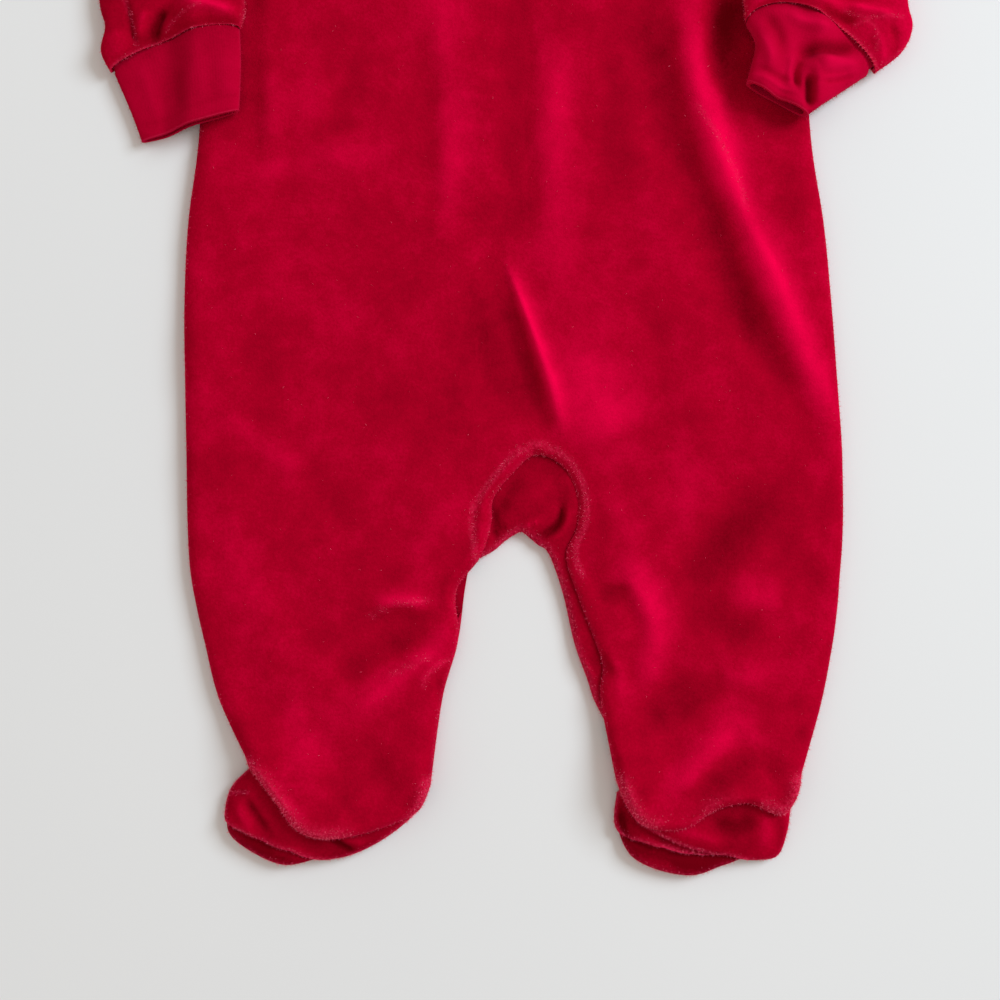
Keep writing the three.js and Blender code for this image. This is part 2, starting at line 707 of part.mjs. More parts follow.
const STRIP_STEPS = 2; // steps along each flat side of a folded strip
const FOLD_STEPS = 5; // steps round its fold

// A strip folded over an edge: upper seam, fold and lower seam for each column, and its top height.
function foldedStrip(columns) {
  const sections = columns.map(({ seam, fold, under, top, lap }) => {
    const radius = top / 2;
    const section = (inset) => {
      const points = [];
      const upper = [fold[0] - seam[0], fold[1] - seam[1]];
      const upperLength = Math.hypot(...upper);
      const lower = [fold[0] - under[0], fold[1] - under[1]];
      const lowerLength = Math.hypot(...lower);
      for (let k = 0; k < STRIP_STEPS; k += 1) {
        const reach = mix(-lap, upperLength - radius, k / STRIP_STEPS);
        points.push([
          seam[0] + (upper[0] / upperLength) * reach,
          seam[1] + (upper[1] / upperLength) * reach,
          top - inset,
        ]);
      }
      for (let k = 0; k <= FOLD_STEPS; k += 1) {
        const angle = Math.PI / 2 - (Math.PI * k) / FOLD_STEPS;
        const [way, length] = angle >= 0 ? [upper, upperLength] : [lower, lowerLength];
        const back = radius - (radius - inset) * Math.cos(angle);
        points.push([
          fold[0] - (way[0] / length) * back,
          fold[1] - (way[1] / length) * back,
          radius + (radius - inset) * Math.sin(angle),
        ]);
      }
      for (let k = 1; k <= STRIP_STEPS; k += 1) {
        const reach = mix(lowerLength - radius, 0, k / STRIP_STEPS);
        points.push([
          under[0] + (lower[0] / lowerLength) * reach,
          under[1] + (lower[1] / lowerLength) * reach,
          inset,
        ]);
      }
      return points;
    };
    return [section(0), section(CLOTH)];
  });
  return solid(
    wall(
      sections.map((pair) => pair[0]),
      sections.map((pair) => pair[1]),
    ),
  );
}

function gussetPiece() {
  const columns = GUSSET.map((_, place) => {
    const at = (name) => along(GUSSET, name, place);
    return {
      seam: [at("seamX"), at("seamY")],
      fold: [at("foldX"), at("foldY")],
      under: [at("underX"), at("underY")],
      top: GUSSET_TOP,
      lap: UNDER_FRONT,
    };
  });
  return named("gusset", foldedStrip(columns), COLOURS.velour);
}

// Heel line of a foot, where its sole meets the lower edge of the back.
function heelPoint(side, share) {
  const [first, last] = [SIDES[ANKLE_ROW], BACK_MIDDLE[ANKLE_ROW]];
  const across = [last[side + "X"] - first[side + "X"], last[side + "Y"] - first[side + "Y"]];
  const inset = HEEL_INSET / Math.hypot(...across);
  const t = mix(inset, 1 - inset, share);
  return [first[side + "X"] + across[0] * t, first[side + "Y"] + across[1] * t - SEAM_GAP];
}

function footColumn(side, share) {
  const [x, y, place] = footCurves[side](share);
  const rows = side === "left" ? LEFT_FOOT : RIGHT_FOOT;
  const heel = heelPoint(side, share);
  const length = Math.hypot(x - heel[0], y - heel[1]);
  const seamInset = along(rows, "seam", place);
  const toHeel = [(heel[0] - x) / length, (heel[1] - y) / length];
  return { outline: [x, y], heel, length, seamInset, toHeel };
}

function solePiece(side) {
  const columns = Array.from({ length: FOOT_STEPS + 1 }, (_, k) => {
    const { outline, heel, seamInset, toHeel } = footColumn(side, k / FOOT_STEPS);
    return {
      seam: [outline[0] + toHeel[0] * seamInset, outline[1] + toHeel[1] * seamInset],
      fold: outline,
      under: heel,
      top: SOLE_LIP,
      lap: 0,
    };
  });
  return named("sole_" + side, foldedStrip(columns), COLOURS.velour);
}

// Upper of a foot from the sole's seam to where it tucks under the ankle fold.
function footUpperPiece(side) {
  const steps = 5;
  const grids = [0, CLOTH].map((inset) =>
    Array.from({ length: FOOT_STEPS + 1 }, (_, k) => {
      const { outline, length, seamInset, toHeel } = footColumn(side, k / FOOT_STEPS);
      const start = seamInset + SEAM_GAP;
      const end = Math.max(length - UPPER_TUCK, start + LEAST_UPPER);
      return Array.from({ length: steps + 1 }, (_, j) => {
        const reach = mix(start, end, j / steps);
        const x = outline[0] + toHeel[0] * reach;
        const y = outline[1] + toHeel[1] * reach;
        const crown = UPPER_CROWN * 0.6 * smooth(3, 12, reach) * smooth(-6, 8, length - reach);
        return [x, y, SOLE_LIP + crown - inset];
      });
    }),
  );
  return named("foot_upper_" + side, solid(wall(grids[0], grids[1])), COLOURS.velour);
}

const bodySides = [
  planRun("left", FRONT_MIDDLE, 0, ARMPIT_ROW, ANKLE_ROW),
  planRun("right", FRONT_MIDDLE, 0, ARMPIT_ROW, ANKLE_ROW),
];

// What a sleeve or cuff rests on: the surface, or the body's side with a slope up to it.
function support(x, y) {
  const run = x < 0 ? bodySides[0] : bodySides[1];
  const { distance, place } = nearest(run, x, y);
  const i = Math.min(Math.floor(place), run.length - 2);
  const edgeX = mix(run[i][0], run[i + 1][0], place - i);
  const isOver = Math.abs(x) < Math.abs(edgeX);
  const depth = isOver ? distance : -distance;
  return SUPPORT_HEIGHT * smooth(-SUPPORT_RAMP, -1, depth) * smooth(ARMPIT_Y, ARMPIT_Y - 8, y);
}

const RING_POINTS = 24;

// One ring of a flattened tube across a section row.
function ring(row, inset, extra) {
  const { outX, outY, inX, inY, height } = row;
  const width = Math.hypot(inX - outX, inY - outY);
  const share = inset / width;
  return Array.from({ length: RING_POINTS }, (_, k) => {
    const angle = (2 * Math.PI * k) / RING_POINTS;
    const across = mix(share, 1 - share, (1 - Math.cos(angle)) / 2);
    const plan = [mix(outX, inX, across), mix(outY, inY, across)];
    const more = extra(across, plan);
    const x = plan[0] + more.x;
    const y = plan[1] + more.y;
    const fullness = Math.min(1, 1.12 * Math.sqrt(Math.abs(Math.sin(angle))));
    const isTop = Math.sin(angle) > 0;
    const rise = isTop ? more.z * fullness : 0;
    const total = Math.max(height + rise, 2 * CLOTH + 0.8) - 2 * inset;
    const z = support(x, y) + inset + total * (0.5 + (isTop ? 0.5 : -0.5) * fullness);
    return [x, y, z];
  });
}

function rowAt(rows, place) {
  return Object.fromEntries(Object.keys(rows[0]).map((name) => [name, along(rows, name, place)]));
}

function tube(rows, stepsPerRow, thickness, extraOf) {
  const places = Array.from(
    { length: (rows.length - 1) * stepsPerRow + 1 },
    (_, k) => k / stepsPerRow,
  );
  const grids = [0, thickness].map((inset) =>
    places.map((place) => {
      const row = rowAt(rows, place);
      return ring(row, inset, extraOf(row));
    }),
  );
  return solid(wall(grids[0], grids[1], { rings: true }));
}

function sleevePiece(side, rows) {
  const first = SIDES[0];
  const last = SIDES[ARMPIT_ROW];
  const extraOf = (row) => (across) => {
    const place = across * ARMPIT_ROW;
    return {
      x: row.cap * (along(SIDES, side + "X", place) - mix(first[side + "X"], last[side + "X"], across)),
      y: row.cap * (along(SIDES, side + "Y", place) - mix(first[side + "Y"], last[side + "Y"], across)),
      z: 0,
    };
  };
  return named("sleeve_" + side, tube(rows, 1, CLOTH, extraOf), COLOURS.velour);
}

function cuffPiece(side, rows) {
  const extraOf = (row) => (across) => ({
    x: 0,
    y: 0,
    z: row.fold * Math.exp(-(((across - 0.5) / 0.16) ** 2)),
  });
  return named("cuff_" + side, tube(rows, 2, RIB, extraOf), COLOURS.rib);
}

// Neckband: a flattened ring whose front layer follows the deep front neckline.
function neckbandPiece() {
  const bands = [
    { half: NECK_HALF_WIDTH - SEAM_GAP, top: NECK_TOP, front: FRONT_NECK_DIP, back: BACK_NECK_DIP },
    {
      half: NECK_HALF_WIDTH - NECKBAND_WIDTH / 2,
      top: NECK_TOP + 1,
      front: FRONT_NECK_DIP - NECKBAND_WIDTH / 2 + 1,
      back: BACK_NECK_DIP - NECKBAND_WIDTH / 2 + 1,
    },
    {
      half: NECK_HALF_WIDTH - NECKBAND_WIDTH,
      top: NECK_TOP + 2,
      front: FRONT_NECK_DIP - NECKBAND_WIDTH + 2,
      back: BACK_NECK_DIP - NECKBAND_WIDTH + 2,
    },
  ];
  const quarter = SHARES.filter((share) => share >= NECK_COLUMN).map(
    (share) => ((share - NECK_COLUMN) / (1 - NECK_COLUMN)) * (Math.PI / 2),
  );
  const half = [...quarter, ...quarter.slice(0, -1).reverse().map((angle) => Math.PI - angle)];
  const angles = [...half.slice(0, -1), ...half.slice(0, -1).map((angle) => angle + Math.PI)];
  const grids = [0, RIB].map((inset) =>
    bands.map(({ half: halfWidth, top, front, back }) =>
      angles.map((angle) => {
        const isTop = Math.sin(angle) >= 0;
        const bend = Math.abs(Math.sin(angle));
        const fullness = Math.min(1, 1.12 * Math.sqrt(bend));
        const dip = (isTop ? front : back) - SEAM_GAP;
        const total = NECKBAND_HEIGHT - 2 * inset;
        return [
          -(halfWidth - inset) * Math.cos(angle),
          top - dip * bend,
          inset + total * (0.5 + (isTop ? 0.5 : -0.5) * fullness),
        ];
      }),
    ),
  );
  return named("neckband", solid(wall(grids[0], grids[1], { rings: true })), COLOURS.rib);
}

// Press stud through both plackets: cap, shank, cap. Grown by a clearance, it cuts its own seat.
function studProfile(grow) {
  const total = PLACKET_STEP + CLOTH;
  const past = grow > 0 ? 2 : 0;
  return [
    [0, -past],
    [STUD_RADIUS + grow, -past],
    [STUD_RADIUS + grow, STUD_CAP + grow],
    [STUD_SHANK + grow, STUD_CAP + grow],
    [STUD_SHANK + grow, total - STUD_CAP - grow],
    [STUD_RADIUS + grow, total - STUD_CAP - grow],
    [STUD_RADIUS + grow, total + past],
    [0, total + past],
  ].map(([radius, height]) => new THREE.Vector2(radius, height));
}

function studShape(y, grow) {
  const geometry = new THREE.LatheGeometry(studProfile(grow), 12);
  geometry.rotateX(Math.PI / 2);
  geometry.translate(0, y, 0);
  geometry.deleteAttribute("normal");
  geometry.deleteAttribute("uv");
  return mergeVertices(geometry, 1e-3);
}

function manifoldOf(geometry) {
  const positions = new Float32Array(geometry.getAttribute("position").array);
  const triVerts = new Uint32Array(geometry.index.array);
  return new wasm.Manifold(new wasm.Mesh({ numProp: 3, vertProperties: positions, triVerts }));
}

function geometryOf(manifold) {
  const { vertProperties, triVerts, numProp } = manifold.getMesh();
  const geometry = new THREE.BufferGeometry();
  const positions = [];
  for (let k = 0; k < vertProperties.length; k += numProp)
    positions.push(vertProperties[k], vertProperties[k + 1], vertProperties[k + 2]);
  geometry.setAttribute("position", new THREE.Float32BufferAttribute(positions, 3));
  geometry.setIndex(new THREE.BufferAttribute(triVerts, 1));
  return geometry;
}

const studYs = Array.from({ length: STUD_COUNT }, (_, k) => FIRST_STUD_Y + k * STUD_SPACING);

function backWithSeats(side) {
  let cloth = manifoldOf(backPiece(side));
  for (const y of studYs) cloth = cloth.subtract(manifoldOf(studShape(y, 0.3)));
  return named("back_" + side, geometryOf(cloth), COLOURS.velour);
}

function studPieces() {
  return studYs.map((y, k) => named("snap_" + (k + 1), studShape(y, 0), COLOURS.stud));
}

const garment = new THREE.Group();
garment.add(frontPiece(), gussetPiece(), backWithSeats("left"), backWithSeats("right"));
garment.add(sleevePiece("left", LEFT_SLEEVE), sleevePiece("right", RIGHT_SLEEVE));
garment.add(cuffPiece("left", LEFT_CUFF), cuffPiece("right", RIGHT_CUFF));
for (const side of ["left", "right"]) garment.add(solePiece(side), footUpperPiece(side));
garment.add(neckbandPiece(), ...studPieces());

// The part's origin is the middle of its underside.
const box = new THREE.Box3().setFromObject(garment);
const centre = box.getCenter(new THREE.Vector3());
garment.position.set(-centre.x, -centre.y, -box.min.z);

export default garment;
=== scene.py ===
# %% [markdown]
# # A footed onesie pajama of red velour, laid flat
# The garment lies on its back on a pale surface, with its sleeves turned down beside the body.
# It is soft, so nearly everything that the eye reads is cloth: where it rolls over at a seam, where it
# is pushed into a fold, and how the pile catches the light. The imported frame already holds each
# sewn piece as a plain solid of the right size. This lesson dresses every one of them.

# %% Load the frame
import math
import bpy
import bmesh
import numpy as np
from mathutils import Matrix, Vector


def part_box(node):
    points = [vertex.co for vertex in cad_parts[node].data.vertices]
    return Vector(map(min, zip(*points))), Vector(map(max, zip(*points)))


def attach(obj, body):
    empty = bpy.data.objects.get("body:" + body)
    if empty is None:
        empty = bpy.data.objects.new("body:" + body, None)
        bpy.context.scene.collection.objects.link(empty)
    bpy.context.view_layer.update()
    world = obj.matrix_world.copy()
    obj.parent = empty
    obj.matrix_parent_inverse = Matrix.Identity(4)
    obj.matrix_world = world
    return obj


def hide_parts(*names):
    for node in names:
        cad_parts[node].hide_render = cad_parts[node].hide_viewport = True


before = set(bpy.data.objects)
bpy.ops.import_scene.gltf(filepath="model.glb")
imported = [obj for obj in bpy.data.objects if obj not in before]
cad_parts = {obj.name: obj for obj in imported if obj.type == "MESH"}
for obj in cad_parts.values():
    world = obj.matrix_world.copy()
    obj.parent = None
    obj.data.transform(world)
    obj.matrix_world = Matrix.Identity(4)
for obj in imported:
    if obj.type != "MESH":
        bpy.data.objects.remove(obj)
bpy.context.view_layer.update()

print("frame:", sorted(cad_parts))

# %% [markdown]
# The pattern is drawn in millimetres with the crotch at y = 0, as a pattern cutter would. The frame
# is in metres, with its origin under the middle of the garment. One press stud is enough to tie the
# two together, because its place on the pattern is known.

# %% From the pattern to the frame
MM = 0.001
FIRST_STUD_Y = 118
STUD_COUNT = 6
STUD_SPACING = 47
stud_low, stud_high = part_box("snap_1")
SHIFT = np.array([
    (stud_low[0] + stud_high[0]) / 2,
    (stud_low[1] + stud_high[1]) / 2 - FIRST_STUD_Y * MM,
    0,
])


def to_frame(points):
    return np.asarray(points, float) * MM + SHIFT


print("crotch lies at", np.round(SHIFT / MM, 2), "mm in the frame")

# %% [markdown]
# A few small curves do all of the drawing. A table's column is read between its rows by a spline,
# so that a dozen numbers give a smooth edge, and a soft step blends one state of the cloth into
# another. They take whole grids at once, which keeps the script fast.

# %% Curves and steps


def table(columns, rows):
    return {name: np.array([row[k] for row in rows], float) for k, name in enumerate(columns)}


def line(*points):
    return table(["x", "y"], points)


def mix(a, b, t):
    return a + (b - a) * t


def smooth(start, end, value):
    t = np.clip((value - start) / (end - start), 0, 1)
    return t * t * (3 - 2 * t)


def bump(distance, width):
    return np.exp(-((distance / width) ** 2))


def soft_max(a, b):
    return (a + b + np.hypot(a - b, 1)) / 2


def along(values, place):
    """A column of a table at places between its rows."""
    place = np.asarray(place, float)
    last = len(values) - 1
    i = np.clip(np.floor(place).astype(int), 0, last - 1)
    t = place - i
    start, end = values[i], values[i + 1]
    leave = (end - values[np.maximum(i - 1, 0)]) / 2
    arrive = (values[np.minimum(i + 2, last)] - start) / 2
    return (
        (2 * t**3 - 3 * t**2 + 1) * start
        + (t**3 - 2 * t**2 + t) * leave
        + (3 * t**2 - 2 * t**3) * end
        + (t**3 - t**2) * arrive
    )


def even_curve(rows):
    """The curve through a table's x and y, walked at an even pace from 0 to 1."""
    place = np.linspace(0, len(rows["x"]) - 1, 400)
    x, y = along(rows["x"], place), along(rows["y"], place)
    walked = np.concatenate([[0], np.cumsum(np.hypot(np.diff(x), np.diff(y)))])
    walked /= walked[-1]
    return lambda share: tuple(np.interp(share, walked, column) for column in (x, y, place))


def spaced(count, ends=2.0, reach=0.05):
    """Shares from 0 to 1, closer together near both ends, where cloth rolls over."""
    t = np.linspace(0, 1, 600)
    density = 1 + ends * (bump(t, reach) + bump(1 - t, reach))
    walked = np.concatenate([[0], np.cumsum(density[1:] + density[:-1])])
    return np.interp(np.linspace(0, 1, count), walked / walked[-1], t)


def nearest(run, x, y):
    """Distance from points to a line of points, and the place on it that is nearest."""
    best = np.full(np.shape(x), np.inf)
    place = np.zeros(np.shape(x))
    for k in range(len(run) - 1):
        (x0, y0), (x1, y1) = run[k], run[k + 1]
        dx, dy = x1 - x0, y1 - y0
        t = np.clip(((x - x0) * dx + (y - y0) * dy) / max(dx * dx + dy * dy, 1e-12), 0, 1)
        distance = np.hypot(x - x0 - dx * t, y - y0 - dy * t)
        closer = distance < best
        best = np.where(closer, distance, best)
        place = np.where(closer, k + t, place)
    return best, place


def inside(outline, x, y):
    """Distance inside a closed outline, negative outside it."""
    loop = np.vstack([outline, outline[:1]])
    within = np.zeros(np.shape(x), bool)
    for (x0, y0), (x1, y1) in zip(loop[:-1], loop[1:]):
        if y0 != y1:
            crosses = ((y0 > y) != (y1 > y)) & (x < (x1 - x0) * (y - y0) / (y1 - y0) + x0)
            within ^= crosses
    distance, _ = nearest(loop, x, y)
    return np.where(within, distance, -distance)


def away(grid, points):
    """Distance in plan from each row of a grid to that row's own point."""
    return np.hypot(*(grid[..., :2] - points[:, None, :]).transpose(2, 0, 1))


print("helpers ready")

# %% [markdown]
# Lengths that more than one piece needs, in millimetres: how thick the cloth is, how high it lies over
# the surface, how wide its edges round over, and how far one piece reaches under another.

# %% Sizes of the cloth and of the lie
CLOTH = 1.8
RIB = 1.8
SEAM_GAP = 0.4
LOFT = 7.4
PRESSED = 5.6
SEAM_HEIGHT = 3.0
SIDE_ROLL = 8
BACK_ROLL = 3
ANKLE_ROLL = 5
ARCH_ROLL = {"left": 6.5, "right": 5}
ANKLE_LIFT = 5.2
ANKLE_LIFT_REACH = 30
LEAST_ROLL_RISE = 2.0
NECK_HALF_WIDTH = 38
NECK_TOP = 388
FRONT_NECK_DIP = 45
BACK_NECK_DIP = 15
NECKBAND_WIDTH = 13
NECKBAND_HEIGHT = 6
NECK_COLUMN = 0.63
OVERLAP = 8
PLACKET_STEP = 2.2
SOLE_LIP = 6
GUSSET_TOP = 4.5
GUSSET_PASSED_Y = {"left": -10, "right": -84}
GUSSET_RAMP = 9
UNDER_FRONT = 0.8
HEEL_INSET = 6
UPPER_TUCK = 3
LEAST_UPPER = 1.6
OUTLINE_REACH = 7
UPPER_CROWN = 2.4
ARMPIT_Y = 256
SUPPORT_HEIGHT = 6.6
SUPPORT_RAMP = 15

# %% [markdown]
# These are the cut edges of the panels, in millimetres on the pattern. Each row is a level on the
# body, from the shoulder down to the ankle. A maker's paper pattern holds the same facts: how wide
# the body is at each level, where the arch of the crotch runs, and how deep the neck dips.

# %% Outline of the body
SIDE_COLUMNS = ["leftX", "leftY", "rightX", "rightY"]


def closed(*points):
    """Rows of a middle line above the crotch, where its two edges are one."""
    return [[x, y, x, y] for x, y in points]


SIDES = table(SIDE_COLUMNS, [
    [-103, 362, 103, 362], [-97, 332, 97, 332], [-96.5, 302, 96, 302], [-103, 272, 101, 272],
    [-120.5, 250, 116, 250], [-124, 214, 117.5, 214], [-126, 184, 118, 184],
    [-127.8, 156, 119.8, 156], [-131.8, 125, 124.6, 125], [-133.3, 92, 127.8, 92],
    [-133.0, 60, 130.2, 60], [-132.6, 38, 131.8, 38], [-132.4, 26, 132.2, 26],
    [-132.2, 10, 132.4, 10], [-131.6, -6, 132, -4], [-130.6, -17, 131, -17],
    [-128.4, -29, 130, -30], [-125.2, -43, 127.8, -46], [-119, -67, 123, -70],
    [-106.5, -93, 114.4, -99],
])
FRONT_MIDDLE = table(SIDE_COLUMNS, [
    *closed((0, 343), (0, 324), (0, 300), (0, 273), (0, 246), (0, 214), (0, 184), (0, 156)),
    *closed((0.5, 125), (2, 92), (4, 60), (8, 32)), [-1.5, 24, 18.6, 28],
    [-8.6, 14.5, 24.6, 17.5], [-9.6, 4, 25.2, 4], [-14, -9.2, 20.6, -8.4],
    [-23.6, -22.8, 25.4, -25], [-22.8, -42, 34.8, -51], [-29.2, -66, 34.4, -66],
    [-34, -101, 40.8, -99],
])
BACK_MIDDLE = table(SIDE_COLUMNS, [
    *closed((0, 373), (0, 345), (0, 316), (0, 284), (0, 250), (0, 214), (0, 184), (0, 150)),
    *closed((0.5, 112), (1, 74), (2, 42), (3, 10.8)), [-4.2, 7.4, 8.6, 9.8],
    [-9.9, 0.8, 14.9, 4.8], [-14.2, -3.6, 20.4, -1.6], [-17.8, -10.4, 24.4, -12],
    [-20.4, -23.4, 28.4, -25], [-22.8, -42, 32, -43.5], [-29.2, -66, 38.9, -69.5],
    [-34, -101, 40.8, -99],
])
ARMPIT_ROW = 4
ARCH_ROW = 11
ANKLE_ROW = 19
STRIP_END_ROW = 18
LEFT_ANKLE = line(
    [-106.5, -93], [-96, -106], [-88, -117], [-78, -121.2], [-66, -120.4], [-50, -116],
    [-38.8, -110.6], [-34, -101],
)
RIGHT_ANKLE = line(
    [114.4, -99], [112.4, -106], [107.4, -111.6], [101, -110.4], [94, -107.2], [86, -108],
    [78, -110.8], [70, -116.4], [60, -118], [50, -115.2], [44.2, -107.6], [40.8, -99],
)
ankle_curves = {"left": even_curve(LEFT_ANKLE), "right": even_curve(RIGHT_ANKLE)}
print("body is", round(SIDES["rightX"].max() - SIDES["leftX"].min()), "mm wide")

# %% [markdown]
# A foot's rows run round its toes, each with the width of the sole's lip there. The gusset's rows run
# along the crotch and down the right inner leg: its upper seam, its fold and its lower seam.

# %% Outline of the feet and of the gusset
LEFT_FOOT = table(["x", "y", "seam"], [
    [-107, -94, 3.6], [-114.6, -102, 4.2], [-117.2, -112, 6], [-116, -120, 7],
    [-106, -128, 7], [-93, -133.2, 7], [-78, -131.6, 6], [-66, -129.4, 5],
    [-53, -123, 4.4], [-41, -113.4, 4], [-35.4, -104, 3.6],
])
RIGHT_FOOT = table(["x", "y", "seam"], [
    [113.4, -100.6, 3.6], [111.4, -110, 4], [110, -120, 5], [105.6, -130, 6],
    [94, -131.6, 6.4], [84, -133.4, 7], [71.6, -137.4, 8], [57, -135, 8],
    [46, -128.8, 7], [40.2, -118, 4.6], [41.2, -104, 3.6],
])
FEET = {"left": LEFT_FOOT, "right": RIGHT_FOOT}
foot_curves = {side: even_curve(rows) for side, rows in FEET.items()}
GUSSET = table(["seamX", "seamY", "foldX", "foldY", "underX", "underY"], [
    [-15.2, -7.4, -14.6, -9.8, -16.2, -8.4], [-10.6, -1.5, -8.6, -6.6, -12.6, -3.6],
    [-9.8, 5, -4.2, -2.8, -9, 0], [-8.6, 14.5, 0, 0, -3.4, 6.4],
    [-1.5, 24, 2.2, 1, 1, 9.2], [8, 32, 3.6, 0.6, 4.6, 9.8],
    [18.6, 28, 6, -1.4, 9, 8.4], [24.6, 17.5, 9.6, -4.4, 14, 4],
    [25.2, 4, 12.6, -6.2, 19.2, -1.8], [20.6, -8.4, 15.6, -12.2, 23.2, -12],
    [25.4, -25, 19.8, -25.4, 27.2, -25], [33.2, -43.5, 24, -43.8, 33.2, -43.5],
    [37.4, -57, 29.2, -58.4, 37.4, -58.4], [36.8, -66, 31.8, -66.4, 37.4, -66.6],
    [37.6, -75, 36.4, -75.4, 38.2, -75.6],
])
print("left foot spans", round(np.ptp(LEFT_FOOT["x"])), "mm")

# %% [markdown]
# A panel is a grid stretched between its side seam and its middle. The number called place runs from
# shoulder to ankle, and the number called share runs from the side seam to the middle. At the top the
# grid is pulled up onto the shoulder seam and the neckline, and at the bottom down onto the ankle fold.

# %% Points of a panel's plan
RUN_STEPS = 8
END_ROWS = 4


def top_curve(side, dip, share):
    sign = -1 if side == "left" else 1
    t = share / NECK_COLUMN
    angle = (share - NECK_COLUMN) / (1 - NECK_COLUMN) * math.pi / 2
    on_shoulder = share <= NECK_COLUMN
    x = np.where(
        on_shoulder,
        mix(SIDES[side + "X"][0], sign * NECK_HALF_WIDTH, t),
        sign * NECK_HALF_WIDTH * np.cos(angle),
    )
    y = np.where(on_shoulder, mix(SIDES[side + "Y"][0], NECK_TOP, t), NECK_TOP - dip * np.sin(angle))
    return x, y


def plan(side, middle, dip, place, share, bottom=None):
    """x and y of points of a panel, by place and share."""
    place, share = np.broadcast_arrays(np.asarray(place, float), np.asarray(share, float))
    other = "right" if side == "left" else "left"
    top_pull = np.clip(1 - place / ARMPIT_ROW, 0, 1) ** 2
    end_pull = np.clip((place - ANKLE_ROW + END_ROWS) / END_ROWS, 0, 1) ** 2
    tops = top_curve(side, dip, share)
    ends = bottom(share) if bottom else None
    found = []
    for axis, name in enumerate("XY"):
        outer = along(SIDES[side + name], place)
        across = middle[other + name][ARCH_ROW + 1]
        own = along(np.append(across, middle[side + name][ARCH_ROW:]), place - ARCH_ROW + 1)
        shared = (along(middle["left" + name], place) + along(middle["right" + name], place)) / 2
        inner = np.where(place > ARCH_ROW, own, shared)
        value = mix(outer, inner, share)
        first = mix(SIDES[side + name][0], middle[side + name][0], share)
        value = value + top_pull * (tops[axis] - first)
        if bottom:
            last = mix(SIDES[side + name][ANKLE_ROW], middle[side + name][ANKLE_ROW], share)
            value = value + end_pull * (ends[axis] - last)
        found.append(value)
    return found


def plan_run(side, middle, share, start, end):
    place = np.append(np.arange(start, end, 1 / RUN_STEPS), end)
    return np.column_stack(plan(side, middle, FRONT_NECK_DIP, place, share, ankle_curves[side]))


def ankle_run(side):
    return np.column_stack(ankle_curves[side](np.linspace(0, 1, 60))[:2])


def shoulder_run(side):
    return np.column_stack(top_curve(side, FRONT_NECK_DIP, np.linspace(0, NECK_COLUMN, 12)))


foot_outlines = [np.column_stack(foot_curves[side](np.linspace(0, 1, 33))[:2]) for side in FEET]
print("inner leg starts at", np.round(plan_run("left", FRONT_MIDDLE, 1, ARCH_ROW, ANKLE_ROW)[0], 1))

# %% [markdown]
# Where two panels meet, the upper one rounds over towards the seam like the edge of a pillow. Each
# such edge knows how wide its roll is and how high its seam lies, because the front is lifted by
# whatever is under it: the sole's lip at the feet, or the gusset at the crotch.

# %% Edges that round over
ON_EDGE = 0.35


def foot_top(x, y):
    depth = np.maximum(*[inside(outline, x, y) for outline in foot_outlines])
    lip = (SOLE_LIP + SEAM_GAP) * smooth(-OUTLINE_REACH, -1.5, depth)
    return lip + UPPER_CROWN * smooth(0, 8, depth)


def leg_seam(x, y):
    return np.maximum(SEAM_HEIGHT + SEAM_GAP, foot_top(x, y) + 2 * SEAM_GAP)


def over_gusset(end_y):
    """Seam height where the front lies over the gusset, down to where it has passed it."""
    def seam(x, y):
        passed = smooth(end_y, end_y - GUSSET_RAMP, y)
        return np.maximum(leg_seam(x, y), GUSSET_TOP + SEAM_GAP - (GUSSET_TOP - SEAM_HEIGHT) * passed)
    return seam


def on_surface(x, y):
    return np.zeros(np.shape(x))


def rolled_edge(points, roll, seam):
    ahead = np.gradient(points, axis=0)
    ahead /= np.linalg.norm(ahead, axis=1, keepdims=True)
    inward = np.column_stack([-ahead[:, 1], ahead[:, 0]])
    return {"points": points, "roll": roll, "seam": seam(*points.T), "inward": inward}


def nearest_edge(edges, x, y):
    best = np.full(x.shape, np.inf)
    roll, seam, in_x, in_y = (np.zeros(x.shape) for _ in range(4))
    for edge in edges:
        points = edge["points"]
        distance, place = nearest(points, x, y)
        i = np.minimum(place.astype(int), len(points) - 2)
        t = place - i
        foot = points[i] + (points[i + 1] - points[i]) * t[..., None]
        own = edge["inward"][i]
        on_edge = distance < ON_EDGE
        toward_x = np.where(on_edge, own[..., 0], x - foot[..., 0])
        toward_y = np.where(on_edge, own[..., 1], y - foot[..., 1])
        length = np.hypot(toward_x, toward_y)
        closer = distance < best
        best = np.where(closer, distance, best)
        roll = np.where(closer, edge["roll"], roll)
        seam = np.where(closer, mix(edge["seam"][i], edge["seam"][i + 1], t), seam)
        in_x = np.where(closer, toward_x / length, in_x)
        in_y = np.where(closer, toward_y / length, in_y)
    return best, roll, seam, in_x, in_y


